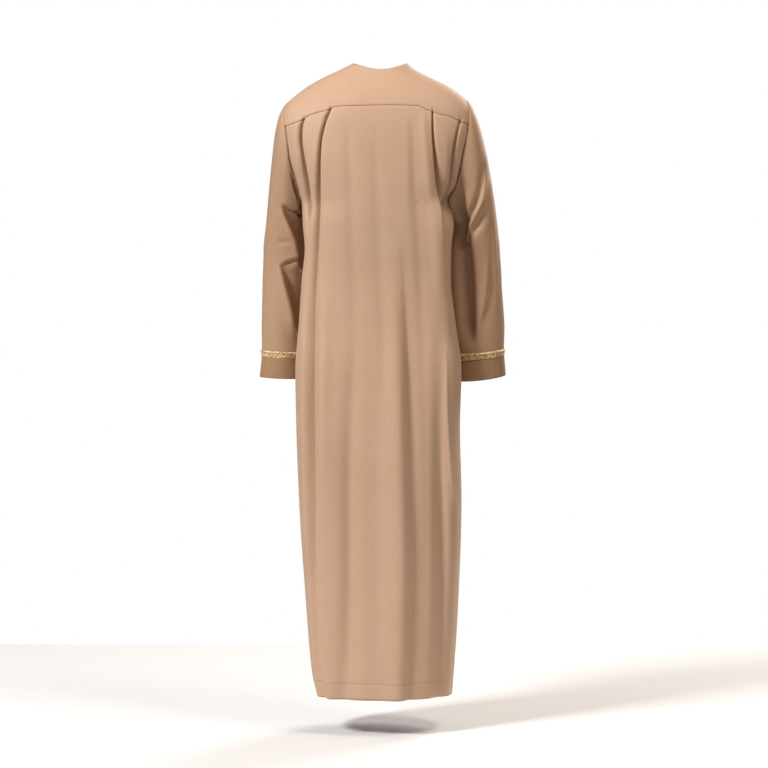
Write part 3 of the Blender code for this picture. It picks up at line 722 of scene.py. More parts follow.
def smooth(at, places, values):
    """Read a table along a smooth curve that never goes past its rows."""
    places = np.asarray(places, float)
    values = np.asarray(values, float)
    if places[0] > places[-1]:
        places = places[::-1]
        values = values[::-1]
    at = np.clip(np.asarray(at, float), places[0], places[-1])
    steps = np.diff(places)
    slopes = np.diff(values) / steps
    tangents = np.concatenate(([slopes[0]], np.zeros(len(slopes) - 1), [slopes[-1]]))
    before = slopes[:-1]
    after = slopes[1:]
    same_way = before * after > 0
    total = np.where(same_way, before + after, 1.0)
    tangents[1:-1] = np.where(same_way, 2 * before * after / total, 0.0)
    row = np.clip(np.searchsorted(places, at) - 1, 0, len(steps) - 1)
    step = steps[row]
    part = (at - places[row]) / step
    rest = 1 - part
    return (
        values[row] * rest**2 * (1 + 2 * part)
        + values[row + 1] * part**2 * (1 + 2 * rest)
        + step * part * rest * (tangents[row] * rest - tangents[row + 1] * part)
    )


def column(rows, names, name):
    """One named column of a table."""
    return np.array([row[names.index(name)] for row in rows], float)


def unit(vectors):
    """Vectors brought to length 1."""
    return vectors / np.linalg.norm(vectors, axis=-1, keepdims=True)


def body_value(name, height):
    """A column of the body's table at a height."""
    heights = column(BODY_ROWS, BODY_COLUMNS, "height")
    return smooth(height, heights, column(BODY_ROWS, BODY_COLUMNS, name))


def plain_body(angle, height):
    """Point of the body without folds. The angle is 0 behind, positive on the right, 180 in front."""
    turn = np.radians(angle)
    across = np.sin(turn)
    ahead = -np.cos(turn)
    middle = body_value("middle", height)
    half_width = np.where(across < 0, body_value("left", height), body_value("right", height))
    behind = ahead < 0
    depth = np.where(behind, body_value("back", height) + middle, body_value("front", height) - middle)
    square = np.where(behind, body_value("back_square", height), body_value("front_square", height))
    reach = ((np.abs(across) / half_width) ** square + (np.abs(ahead) / depth) ** square) ** (-1 / square)
    return np.stack((reach * across, middle + reach * ahead, height + 0 * reach), axis=-1)


def surface_normal(surface, first, second, first_step, second_step):
    """Outward direction of a surface that is known by two values."""
    along_first = surface(first + first_step, second) - surface(first - first_step, second)
    along_second = surface(first, second + second_step) - surface(first, second - second_step)
    return unit(np.cross(along_first, along_second))


def body_normal(angle, height):
    """Outward direction of the body without folds."""
    return surface_normal(plain_body, angle, height, SMALL_TURN, SMALL_STEP)


def fold_move(rows, across, height, sharp=False):
    """How far one fold moves the cloth outwards, at places as they are seen from behind or in front."""
    table = np.array(rows, float)
    run = np.concatenate(([0], np.cumsum(np.linalg.norm(np.diff(table[:, :2], axis=0), axis=1))))
    at = np.linspace(0, run[-1], FOLD_SAMPLES)
    spacing = at[1]
    line = np.stack([smooth(at, run, table[:, place]) for place in range(len(FOLD_COLUMNS))], axis=-1)
    change = np.gradient(line, spacing, axis=0)
    tangent = unit(change[:, :2])
    places = np.stack((across, height), axis=-1).reshape(-1, 2)
    reach = FOLD_REACH * table[:, 4:].max() + spacing
    low = table[:, :2].min(axis=0) - reach
    high = table[:, :2].max(axis=0) + reach
    inside = np.flatnonzero(((places > low) & (places < high)).all(axis=1))
    move = np.zeros(len(places))
    for chunk in np.array_split(inside, max(1, len(inside) // POINTS_AT_ONCE)):
        away = places[chunk][:, None] - line[None, :, :2]
        near = np.argmin((away**2).sum(axis=-1), axis=1)
        away = away[np.arange(len(chunk)), near]
        ahead = (away * tangent[near]).sum(axis=-1)
        beside = away[:, 1] * tangent[near, 0] - away[:, 0] * tangent[near, 1]
        past = np.where((near == 0) & (ahead < 0) | (near == len(at) - 1) & (ahead > 0), np.abs(ahead), 0)
        sizes = line[near] + np.where(past > 0, 0, ahead)[:, None] * change[near]
        groove, step, left, right = sizes[:, 2:].T
        offset = beside / np.where(beside < 0, left, right)
        valley = np.exp(1 - np.sqrt(1 + (SHARPNESS * offset) ** 2)) if sharp else np.exp(-(offset**2))
        drop = step * np.tanh(STEP_STEEPNESS * offset) * np.exp(-((offset / STEP_REACH) ** 2))
        move[chunk] = -(groove * valley + drop) * np.exp(-((past / left) ** 2))
    return move.reshape(np.shape(across))


def body(angle, height):
    """Point of the body of the robe, with its folds."""
    base = plain_body(angle, height)
    facing_back = np.cos(np.radians(angle))
    move = np.zeros_like(facing_back)
    for folds, facing in ((BACK_FOLDS, facing_back), (FRONT_FOLDS, -facing_back)):
        strength = np.clip(facing * BODY_FADE, 0, 1)
        for name, rows in folds.items():
            if strength.max() > 0:
                sharp = name in SHARP_FOLDS
                move = move + strength * fold_move(rows, base[..., 0], height + 0 * angle, sharp)
    return base + body_normal(angle, height) * move[..., None]


def armhole(side, turn):
    """Angle and height on the body, round the armhole: 0 at the top, 90 behind, 180 at the armpit."""
    around = np.radians(turn)
    top = ARMHOLE_TOP[side]
    height = (top + ARMPIT_HEIGHT) / 2 + (top - ARMPIT_HEIGHT) / 2 * np.cos(around)
    reach = np.where(np.sin(around) > 0, ARMHOLE_BACK_TURN, ARMHOLE_FRONT_TURN)
    return SIDE_SIGN[side] * (90 - reach * np.sin(around)), height


def neckline(angle):
    """Height of the neck edge at an angle."""
    facing_back = np.cos(np.radians(angle))
    return -np.where(facing_back > 0, NECK_DIP_BACK, NECK_DIP_FRONT) * facing_back**2


def sleeve_ring(side, turn, height):
    """Point of the sleeve's tube at a turn (0 outside, 90 behind, 180 next to the body) and a height."""
    rows = SLEEVE_ROWS[side]
    heights = column(rows, SLEEVE_COLUMNS, "height")
    out, forward, half_width, half_depth, outer_rise, front_rise = (
        smooth(height, heights, column(rows, SLEEVE_COLUMNS, name)) for name in SLEEVE_COLUMNS[1:]
    )
    around = np.radians(turn)
    across = SIDE_SIGN[side] * (out + half_width * np.cos(around))
    ahead = forward - half_depth * np.sin(around)
    rise = outer_rise * np.cos(around) - front_rise * np.sin(around)
    return np.stack((across, ahead, height + rise), axis=-1)


def leaving(name, around):
    """A column of the table of leaving directions, at a turn in radians."""
    place = LEAVING_COLUMNS.index(name)
    top, side, armpit = (LEAVING_ROWS[row][place] for row in ("top", "side", "armpit"))
    facing_up = np.cos(around)
    return side + (top - armpit) / 2 * facing_up + ((top + armpit) / 2 - side) * facing_up**2


def plain_sleeve(side, turn, along, start):
    """Point of a sleeve without creases: along is 0 at the armhole, 1 at the top ring, 2 at the cuff."""
    around = np.radians(turn)
    end = sleeve_ring(side, turn, np.full_like(turn, SLEEVE_TOP_RING))
    below_end = sleeve_ring(side, turn, np.full_like(turn, SLEEVE_TOP_RING - SLEEVE_LOOK_DOWN))
    start_pull = np.stack(
        (
            SIDE_SIGN[side] * leaving("outward", around),
            -leaving("backward", around) * np.sin(around),
            -leaving("down", around),
        ),
        axis=-1,
    )
    end_pull = unit(below_end - end) * leaving("arriving", around)[..., None]
    part = np.clip(along, 0, 1)[..., None]
    rest = 1 - part
    above = (
        start * rest**2 * (1 + 2 * part)
        + end * part**2 * (1 + 2 * rest)
        + part * rest * (start_pull * rest - end_pull * part)
    )
    below = np.clip(along - 1, 0, None)
    lower = sleeve_ring(side, turn, SLEEVE_TOP_RING + (SLEEVE_END - SLEEVE_TOP_RING) * below)
    return np.where(along[..., None] <= 1, above, lower)


def grid_normals(points, closed=False, flip=False):
    """Outward directions of a grid of points."""
    if closed:
        across = np.roll(points, -1, axis=1) - np.roll(points, 1, axis=1)
    else:
        across = np.gradient(points, axis=1)
    down = np.gradient(points, axis=0)
    normals = unit(np.cross(across, down))
    return -normals if flip else normals


def edge_distance(points, edge):
    """Distance of each point of a grid from one of its edges, along the cloth."""
    axis = 0 if edge in ("bottom", "top") else 1
    steps = np.linalg.norm(np.diff(points, axis=axis), axis=-1)
    if edge in ("top", "end"):
        steps = np.flip(steps, axis=axis)
    shape = list(steps.shape)
    shape[axis] = 1
    distance = np.concatenate((np.zeros(shape), np.cumsum(steps, axis=axis)), axis=axis)
    return np.flip(distance, axis=axis) if edge in ("top", "end") else distance


def dipped(points, normals, edges, depth=SEAM_DIP):
    """Sink a panel's cloth towards its sewn edges."""
    for edge in edges:
        dip = depth * np.exp(-((edge_distance(points, edge) / SEAM_DIP_WIDTH) ** 2))
        points = points - normals * dip[..., None]
    return points


def grid_faces(columns, rows, closed=False, flip=False):
    """Four-sided faces over a grid of points that is stored row by row, and each corner's row and column."""
    steps = columns if closed else columns - 1
    row, place = np.meshgrid(np.arange(rows - 1), np.arange(steps), indexing="ij")
    row = row.ravel()
    place = place.ravel()
    corner_rows = np.stack((row, row, row + 1, row + 1), axis=-1)
    corner_columns = np.stack((place, place + 1, place + 1, place), axis=-1)
    if flip:
        corner_rows = corner_rows[:, ::-1]
        corner_columns = corner_columns[:, ::-1]
    return corner_rows * columns + corner_columns % columns, corner_rows, corner_columns


def flat_places(points, corner_rows, corner_columns, closed=False):
    """Place of each face corner on the flat cloth, in metres: across, from the middle row, and down."""
    ring = np.concatenate((points, points[:, :1]), axis=1) if closed else points
    across = np.linalg.norm(np.diff(ring, axis=1), axis=-1).mean(axis=0)
    down = np.linalg.norm(np.diff(points, axis=0), axis=-1).mean(axis=1)
    across = np.concatenate(([0], np.cumsum(across))) * MM
    down = np.concatenate(([0], np.cumsum(down))) * MM
    return np.stack((across[corner_columns], down[corner_rows]), axis=-1)


def place_object(name, data):
    """A new object in the scene."""
    thing = bpy.data.objects.new(name, data)
    bpy.context.scene.collection.objects.link(thing)
    return thing


def cloth_wall(name, points, normals, faces, flat, material, thickness=CLOTH):
    """Make a thin wall of cloth with two faces and a rim at every edge. Its flat places are its UV map."""
    points = points.reshape(-1, 3)
    inner = points - normals.reshape(-1, 3) * thickness
    count = len(points)
    starts = faces.ravel()
    ends = np.roll(faces, -1, axis=1).ravel()
    free = ~np.isin(starts * count + ends, ends * count + starts)
    rims = np.stack((ends[free], starts[free], starts[free] + count, ends[free] + count), axis=-1)
    flat_start = flat.reshape(-1, 2)[free]
    flat_end = np.roll(flat, -1, axis=1).reshape(-1, 2)[free]
    rim_flat = np.stack((flat_end, flat_start, flat_start, flat_end), axis=1)
    all_faces = np.concatenate((faces, faces[:, ::-1] + count, rims)).tolist()
    mesh = bpy.data.meshes.new(name)
    mesh.from_pydata((np.concatenate((points, inner)) * MM).tolist(), [], all_faces)
    layer = mesh.uv_layers.new(name="cut")
    layer.data.foreach_set("uv", np.concatenate((flat, flat[:, ::-1], rim_flat)).ravel())
    mesh.materials.append(material)
    mesh.shade_smooth()
    return place_object(name, mesh)


def cloth_grid(name, points, normals, material, closed=False, flip=False, thickness=CLOTH):
    """Make a wall of cloth over a whole grid of points."""
    faces, corner_rows, corner_columns = grid_faces(points.shape[1], len(points), closed, flip)
    flat = flat_places(points, corner_rows, corner_columns, closed)
    return cloth_wall(name, points, normals, faces, flat, material, thickness)


def trimmed(angles, heights, edges):
    """Draw the named edges of a grid on the body in by half a seam's gap."""
    angles = angles.copy()
    heights = heights.copy()
    every = slice(None)
    places = {
        "bottom": ((0,), (1,)),
        "top": ((-1,), (-2,)),
        "start": ((every, 0), (every, 1)),
        "end": ((every, -1), (every, -2)),
    }
    for edge in edges:
        outer, inner = places[edge]
        here = plain_body(angles[outer], heights[outer])
        there = plain_body(angles[inner], heights[inner])
        share = SEAM_HALF_GAP / np.linalg.norm(there - here, axis=-1)
        angles[outer] += (angles[inner] - angles[outer]) * share
        heights[outer] += (heights[inner] - heights[outer]) * share
    return angles, heights


def crowded_ends(count, first=0.0, last=1.0, start=False, end=False):
    """Even steps from one value to another, with finer ones beside a sewn edge."""
    steps = np.linspace(0, 1, count + 1)
    if start:
        steps = np.union1d(steps[(steps == 0) | (steps > CLEAR_OF_SEAM)], SEAM_STEPS)
    if end:
        steps = np.union1d(steps[(steps == 1) | (steps < 1 - CLEAR_OF_SEAM)], 1 - SEAM_STEPS)
    return first + (last - first) * steps


def spread(angles, heights, guides, count):
    """Place a row's columns along the cloth, closer together beside the guide lines and the ends."""
    points = plain_body(angles, heights)
    steps = np.linalg.norm(np.diff(points, axis=0), axis=1)
    middles = (points[1:] + points[:-1]) / 2
    crowd = np.ones_like(steps)
    for guide in guides:
        crowd += CROWD_GAIN * np.exp(-(((middles[:, 0] - guide(middles[:, 2])) / CROWD_WIDTH) ** 2))
    run = np.concatenate(([0], np.cumsum(steps)))
    centre = (run[1:] + run[:-1]) / 2
    for away in (centre, run[-1] - centre):
        crowd += CROWD_GAIN * np.exp(-((away / CROWD_WIDTH) ** 2))
    length = np.concatenate(([0], np.cumsum(steps * crowd)))
    places = np.linspace(0, length[-1], count + 1)
    return np.interp(places, length, angles), np.interp(places, length, heights)


def guide_line(rows):
    """A fold's path as a function of height."""
    heights = column(rows, FOLD_COLUMNS, "height")
    across = column(rows, FOLD_COLUMNS, "across")
    return lambda height: smooth(height, heights, across)


def level_rows(first, last, guides, count):
    """Angles and heights of the rows below the armpit, from the hem up, finer beside the hem's stitches."""
    even = np.linspace(HEM_HEIGHT, ARMPIT_HEIGHT, ROWS_BELOW_ARMPIT + 1)
    angles = np.linspace(first, last, ROW_SAMPLES)
    heights = np.union1d(even, HEM_HEIGHT + HEM_DEPTH + np.array(HEM_ROWS))
    return [spread(angles, np.full_like(angles, height), guides, count) for height in heights]


def yoke_seam_height(angles):
    """Height of the back yoke seam at angles round the body."""
    across = column(YOKE_SEAM_ROWS, YOKE_SEAM_COLUMNS, "across")
    heights = column(YOKE_SEAM_ROWS, YOKE_SEAM_COLUMNS, "height")
    found = np.full_like(angles, YOKE_SEAM_GUESS)
    for _ in range(YOKE_SEAM_ROUNDS):
        found = 0.5 * found + 0.5 * smooth(plain_body(angles, found)[..., 0], across, heights)
    return found


def back_grid():
    """Angles and heights of the back panel's rows, from the hem to the yoke seam."""
    guides = [guide_line(BACK_FOLDS[name]) for name in SHARP_FOLDS]
    rows = level_rows(-90, 90, guides, BACK_COLUMN_COUNT)
    across = np.linspace(0, 1, ROW_SAMPLES)
    left_end = armhole("left", float(YOKE_BACK_TURN))
    right_end = armhole("right", float(YOKE_BACK_TURN))
    seam = yoke_seam_height(left_end[0] + (right_end[0] - left_end[0]) * across)
    seam = seam + (left_end[1] - seam[0]) * (1 - across) + (right_end[1] - seam[-1]) * across
    for turn in crowded_ends(ROWS_ABOVE_ARMPIT, 180, YOKE_BACK_TURN, end=True)[1:]:
        left_angle, left_height = armhole("left", turn)
        right_angle, right_height = armhole("right", turn)
        raised = (left_height - ARMPIT_HEIGHT) / (left_end[1] - ARMPIT_HEIGHT)
        heights = ARMPIT_HEIGHT + (seam - ARMPIT_HEIGHT) * raised
        heights = heights + (left_height - heights[0]) * (1 - across) + (right_height - heights[-1]) * across
        angles = left_angle + (right_angle - left_angle) * across
        rows.append(spread(angles, heights, guides, BACK_COLUMN_COUNT))
    return np.array(rows).transpose(1, 0, 2)


def yoke_front_edge(side):
    """Angles and heights along the front yoke seam, from the neck to the armhole."""
    share = np.linspace(0, 1, YOKE_STEPS_DOWN + 1)
    neck_angle = SIDE_SIGN[side] * YOKE_NECK_ANGLE
    end_angle, end_height = armhole(side, float(YOKE_FRONT_TURN))
    start_height = neckline(neck_angle)
    angles = neck_angle + (end_angle - neck_angle) * share
    return angles, start_height + (end_height - start_height) * share


def yoke_grid(seam_angles, seam_heights):
    """Angles and heights of the yoke: columns are spokes from the neck out, front left to front right."""
    turns = np.linspace(YOKE_FRONT_TURN, YOKE_BACK_TURN, YOKE_ARMHOLE_STEPS + 1)
    left = armhole("left", turns)
    right = armhole("right", turns[::-1])
    outer_angles = np.concatenate((left[0], seam_angles[1:-1], right[0]))
    outer_heights = np.concatenate((left[1], seam_heights[1:-1], right[1]))
    beside_neck = np.linspace(YOKE_NECK_ANGLE, YOKE_SPOKE_AT_NECK, YOKE_ARMHOLE_STEPS + 1)
    share = np.interp(seam_angles, (seam_angles[0], seam_angles[-1]), (-1, 1))
    behind_neck = share[1:-1] * YOKE_SPOKE_AT_NECK
    neck_angles = np.concatenate((-beside_neck, behind_neck, beside_neck[::-1]))
    neck_heights = neckline(neck_angles)
    down = 1 - crowded_ends(YOKE_STEPS_DOWN, start=True)[:, None]
    angles = neck_angles + (outer_angles - neck_angles) * down
    return angles, neck_heights + (outer_heights - neck_heights) * down


def front_grid():
    """Angles and heights of the front panel, from the wearer's right round to the left, hem to neck."""
    rows = level_rows(90, 270, (), FRONT_COLUMN_COUNT)
    right_edge = yoke_front_edge("right")
    left_edge = yoke_front_edge("left")
    neck = np.linspace(YOKE_NECK_ANGLE, 360 - YOKE_NECK_ANGLE, 2 * FRONT_NECK_STEPS + 1)
    top_angles = np.concatenate((right_edge[0][::-1], neck[1:-1], left_edge[0] + 360))
    top_heights = np.concatenate((right_edge[1][::-1], neckline(neck[1:-1]), left_edge[1]))
    low_angles = rows[-1][0]
    across = np.linspace(0, 1, FRONT_COLUMN_COUNT + 1)
    for turn in np.linspace(-180, YOKE_FRONT_TURN, ROWS_ABOVE_ARMPIT + 1)[1:]:
        right_angle, right_height = armhole("right", turn)
        left_angle, left_height = armhole("left", turn)
        raised = (right_height - ARMPIT_HEIGHT) / (top_heights[0] - ARMPIT_HEIGHT)
        angles = low_angles + (top_angles - low_angles) * raised
        angles = angles + (right_angle - angles[0]) * (1 - across)
        angles = angles + (left_angle + 360 - angles[-1]) * across
        heights = ARMPIT_HEIGHT + (top_heights - ARMPIT_HEIGHT) * raised
        heights = heights + (left_height - heights[-1]) * across
        rows.append((angles, heights))
    return np.array(rows).transpose(1, 0, 2)


def body_panel(angles, heights, sewn, dips=()):
    """Points and outward directions of a panel, drawn in at its sewn edges and along the hem's stitches."""
    angles, heights = trimmed(angles, heights, sewn)
    points = body(angles, heights)
    normals = grid_normals(points)
    hem = HEM_STITCH_DIP * np.exp(-(((heights - HEM_HEIGHT - HEM_DEPTH) / HEM_STITCH_WIDTH) ** 2))
    return dipped(points, normals, dips) - normals * hem[..., None], normals


def finish_piece(thing, slot, *nodes):
    """Let a piece ride on the body and hide the model's parts that it stands for. The slot is not used."""
    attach(thing, "root")
    if nodes:
        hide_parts(*nodes)


def finish_cloth(thing, node):
    """Finish a piece of cloth: let it ride on the body and hide the model's part that it stands for."""
    finish_piece(thing, "cloth", node)


def make_back(angles, heights, cloth):
    """Back panel, with its pleats and the long folds below them."""
    points, normals = body_panel(angles, heights, SEWN, SEWN)
    return cloth_grid("back_panel_cloth", points, normals, cloth)


def make_yoke(angles, heights, cloth):
    """Yoke over both shoulders."""
    points, normals = body_panel(angles, heights, ("bottom", "start", "end"))
    return cloth_grid("yoke_cloth", points, normals, cloth)


def make_front(angles, heights, cloth):
    """Front panel, slit from the neck down its middle column."""
    points, normals = body_panel(angles, heights, SEWN)
    rows, columns = angles.shape
    middle = columns // 2
    slit_row = int(np.argmin(np.abs(heights[:, middle] - SLIT_END)))
    faces, corner_rows, corner_columns = grid_faces(columns, rows)
    flat = flat_places(points, corner_rows, corner_columns)
    here = np.arange(slit_row + 1, rows) * columns + middle
    aside = np.array((SLIT_HALF_GAP, 0, 0))
    points = points.reshape(-1, 3)
    normals = normals.reshape(-1, 3)
    second_points = points[here] - aside
    points[here] += aside
    second = np.arange(rows * columns)
    second[here] = rows * columns + np.arange(len(here))
    beyond = corner_columns.min(axis=1) >= middle
    faces[beyond] = second[faces[beyond]]
    points = np.concatenate((points, second_points))
    normals = np.concatenate((normals, normals[here]))
    return cloth_wall("front_panel_cloth", points, normals, faces, flat, cloth)


def placket_turn(heights, half_width):
    """Angle between the front's middle and a line beside it."""
    reach = body_value("front", heights) - body_value("middle", heights)
    return np.degrees(np.arctan(half_width / reach))


def make_placket(cloth):
    """Strip over the slit, from the neck edge to past the slit's end."""
    heights = np.linspace(PLACKET_BOTTOM, PLACKET_TOP, PLACKET_ROWS)[:, None]
    across = np.linspace(-1, 1, PLACKET_COLUMNS)
    angles = FRONT_MIDDLE + placket_turn(heights, PLACKET_WIDTH / 2) * across
    points = body(angles, heights + 0 * angles)
    normals = grid_normals(points)
    crown = LAID_ON_GAP + CLOTH + PLACKET_CROWN * (1 - across**4)
    return cloth_grid("front_placket_cloth", points + normals * crown[:, None], normals, cloth)


def sleeve_points(side, turn, along):
    """Points of a sleeve with its creases, for a whole grid."""
    start = body(*armhole(side, turn[0]))[None] + 0 * turn[..., None]
    base = plain_sleeve(side, turn, along, start)
    normals = grid_normals(base, closed=True, flip=side == "left")
    behind = np.sin(np.radians(turn))
    begun = np.clip(along * CREASE_FADE_IN, 0, 1)
    begun = begun * np.clip((CREASE_END - along) * CREASE_FADE_OUT, 0, 1)
    move = np.zeros_like(turn)
    for creases, facing in ((SLEEVE_BACK_CREASES, behind), (SLEEVE_FRONT_CREASES, -behind)):
        strength = np.clip(facing * CREASE_SIDE_FADE, 0, 1) * begun
        for rows in creases[side].values():
            move = move + strength * fold_move(rows, base[..., 0], base[..., 2])
    points = base + normals * move[..., None]
    return points, grid_normals(points, closed=True, flip=side == "left")


def full_turn(count):
    """Even turns once round a sleeve."""
    return np.linspace(-180, 180, count + 1)[:-1]


def make_sleeve(side, cloth):
    """One sleeve, from the armhole to the cuff seam."""
    above = crowded_ends(SLEEVE_STEPS_ABOVE, 0, 1, start=True)
    below = crowded_ends(SLEEVE_STEPS_BELOW, 1, 2, end=True)[1:]
    along = np.concatenate((above, below))
    along[0] += SEAM_HALF_GAP / SLEEVE_TOP_LENGTH
    along[-1] -= SEAM_HALF_GAP / (SLEEVE_TOP_RING - SLEEVE_END)
    points, normals = sleeve_points(side, *np.meshgrid(full_turn(SLEEVE_TURNS), along))
    points = dipped(points, normals, ("bottom",))
    return cloth_grid(f"sleeve_{side}_cloth", points, normals, cloth, closed=True, flip=side == "left")


def ring_rows(side, heights, lift, turns=SLEEVE_TURNS):
    """Points and outward directions of rings round a sleeve at heights."""
    turns, heights = np.meshgrid(full_turn(turns), np.asarray(heights, float))

    def tube(turn, height):
        return sleeve_ring(side, turn, height)

    normals = surface_normal(tube, turns, heights, RING_STEP, RING_STEP) * -SIDE_SIGN[side]
    return tube(turns, heights) + normals * np.asarray(lift, float)[:, None, None], normals


def make_cuff(side, cloth):
    """Plain band at the sleeve's end, a little proud of the sleeve."""
    heights = np.linspace(SLEEVE_END - SEAM_HALF_GAP, CUFF_END, CUFF_STEPS + 1)
    above_stitches = heights - CUFF_END - CUFF_STITCH_HEIGHT
    dip = CUFF_STITCH_DIP * np.exp(-((above_stitches / CUFF_STITCH_WIDTH) ** 2))
    points, normals = ring_rows(side, heights, CUFF_LIFT - dip)
    name = f"cuff_{side}_cloth"
    return cloth_grid(name, points, normals, cloth, closed=True, flip=side == "left", thickness=CUFF_CLOTH)


def linear(hex_colour):
    """Turn an sRGB hex colour into linear red, green, blue and alpha."""
    parts = [int(hex_colour[place : place + 2], 16) / 255 for place in (1, 3, 5)]
    return (*(part / 12.92 if part <= 0.04045 else ((part + 0.055) / 1.055) ** 2.4 for part in parts), 1.0)


def with_painted_shade(hex_colour, shade):
    """A linear colour darkened by painted shade, by a share that reaches green and blue more than red."""
    red, green, blue, _ = linear(hex_colour)
    return red * shade, green * shade**PAINTED_SHADE_GREEN_POWER, blue * shade**PAINTED_SHADE_BLUE_POWER, 1.0


def add_node(tree, kind, inputs=None, **settings):
    """Add a node with its settings. An input takes a value or the socket that feeds it."""
    node = tree.nodes.new(kind)
    for name, value in settings.items():
        setattr(node, name, value)
    for name, value in (inputs or {}).items():
        if isinstance(value, bpy.types.NodeSocket):
            tree.links.new(value, node.inputs[name])
        else:
            node.inputs[name].default_value = value
    return node


def start_material(name, **values):
    """A material with a Principled shader whose own sockets take the given values."""
    material = bpy.data.materials.new(name)
    material.use_nodes = True
    shader = material.node_tree.nodes["Principled BSDF"]
    for socket, value in values.items():
        shader.inputs[socket.replace("_", " ")].default_value = value
    return material, material.node_tree


def reckon(tree, operation, *values):
    """Result of a Math node."""
    return add_node(tree, "ShaderNodeMath", dict(enumerate(values)), operation=operation).outputs[0]


def noise(tree, scale, **inputs):
    """Values of a noise texture."""
    return add_node(tree, "ShaderNodeTexNoise", {"Scale": scale, **inputs}).outputs[0]


def wave(tree, vector, pitch, direction, distortion=0.0):
    """Ridges of a wave texture, with a pitch in millimetres."""
    inputs = {"Vector": vector, "Scale": WAVE_TURN / (pitch * MM), "Distortion": distortion}
    return add_node(tree, "ShaderNodeTexWave", inputs, bands_direction=direction).outputs[1]


def mixed(tree, factor, first, second):
    """A colour between two others."""
    inputs = {0: factor, 6: first, 7: second}
    return add_node(tree, "ShaderNodeMix", inputs, data_type="RGBA").outputs[2]


def ranged(tree, value, low=0.0, high=1.0, to_low=0.0, to_high=1.0):
    """A value brought from one range to another."""
    inputs = {"Value": value, "From Min": low, "From Max": high, "To Min": to_low, "To Max": to_high}
    return add_node(tree, "ShaderNodeMapRange", inputs).outputs[0]


def bumped(tree, height, strength, depth):
    """Bump with a depth in millimetres."""
    inputs = {"Height": height, "Strength": strength, "Distance": depth * MM}
    return add_node(tree, "ShaderNodeBump", inputs).outputs[0]


def end_material(material, **sockets):
    """Link the sockets that vary to the material's shader."""
    tree = material.node_tree
    for name, socket in sockets.items():
        tree.links.new(socket, tree.nodes["Principled BSDF"].inputs[name.replace("_", " ")])
    return material


def poplin(name, shade):
    """Poly-cotton poplin: a pressed plain weave, smooth from a step away with a soft sheen on its folds.

    The real threads lie about 0.3 mm apart. They are drawn 1.1 mm apart, the finest that can show.
    The shade is painted shade: it darkens the sleeves' copy of this cloth, and the cuffs' copy more.
    """
    material, tree = start_material(
        name,
        Specular_IOR_Level=0.32,
        Sheen_Weight=0.22,
        Sheen_Roughness=0.35,
        Sheen_Tint=linear("#FFF0E2"),
    )
    place = add_node(tree, "ShaderNodeUVMap", uv_map="cut").outputs["UV"]
    warp = wave(tree, place, THREAD_PITCH, "X")
    weave = reckon(tree, "MULTIPLY", warp, wave(tree, place, THREAD_PITCH, "Y"))
    scale = (1 / (SLUB_THICKNESS * MM), 1 / (SLUB_LENGTH * MM), 1)
    stretched = add_node(tree, "ShaderNodeMapping", {"Vector": place, "Scale": scale}).outputs[0]
    slubs = noise(tree, 1.0, Vector=stretched, Detail=2.0)
    here = add_node(tree, "ShaderNodeTexCoord").outputs["Object"]
    both = reckon(tree, "ADD", slubs, noise(tree, CLOTH_PATCHES, Vector=here, Detail=3.0))
    tone = ranged(tree, both, low=0.65, high=1.35)
    # Painted shade: every colour is darkened by the shade given for the sleeves and cuffs.
    dyed = mixed(tree, tone, with_painted_shade(CLOTH_COLOURS["dark"], shade), with_painted_shade(CLOTH_COLOURS["light"], shade))
    threads = mixed(tree, weave, with_painted_shade(CLOTH_COLOURS["between"], shade), dyed)
    relief = reckon(tree, "MULTIPLY_ADD", slubs, SLUB_RELIEF_SHARE, weave)
    return end_material(
        material,
        Base_Color=mixed(tree, WEAVE_BLUR, threads, dyed),
        Roughness=ranged(tree, slubs, low=0.3, high=0.7, to_low=0.54, to_high=0.63),
        Normal=bumped(tree, relief, strength=0.25, depth=CLOTH_RELIEF),
    )


def sewing_thread():
    """Spun polyester sewing thread, a shade darker than the cloth, a little fuzzy and matt."""
    material, tree = start_material("spun_polyester_thread", Roughness=0.7, Specular_IOR_Level=0.3)
    here = add_node(tree, "ShaderNodeTexCoord").outputs["Object"]
    twist = noise(tree, FUZZ_PATCHES, Vector=here)
    return end_material(material, Base_Color=mixed(tree, twist, linear("#8E6E52"), linear("#B08C6A")))


def braid_thread(name, dark, light, metallic):
    """Braid thread of metallised polyester, whose gilt colour varies; its bright patches are painted glints.
    """
    material, tree = start_material(name, Metallic=metallic)
    here = add_node(tree, "ShaderNodeTexCoord").outputs["Object"]
    strands = wave(tree, here, STRAND_PITCH, "DIAGONAL", distortion=1.5)
    patches = noise(tree, PAINTED_GLINT_PATCHES, Vector=here)
    # Colour: the dull patches are the gilt thread's own, the bright ones painted glints; the roughness
    # follows them.
    return end_material(
        material,
        Base_Color=mixed(tree, ranged(tree, patches, low=0.38, high=0.62), linear(dark), linear(light)),
        Roughness=ranged(tree, patches, to_low=0.36, to_high=0.56),
        Normal=bumped(tree, strands, strength=0.5, depth=BRAID_RELIEF),
    )


def button_polyester():
    """Cast polyester buttons: satin, with soft darker streaks like horn."""
    material, tree = start_material("cast_polyester", Coat_Weight=0.05)
    here = add_node(tree, "ShaderNodeTexCoord").outputs["Object"]
    streaks = noise(tree, HORN_PATCHES, Vector=here, Detail=3.0, Distortion=1.2)
    return end_material(
        material,
        Base_Color=mixed(tree, streaks, linear("#8A6749"), linear("#B99472")),
        Roughness=ranged(tree, streaks, to_low=0.36, to_high=0.48),
    )


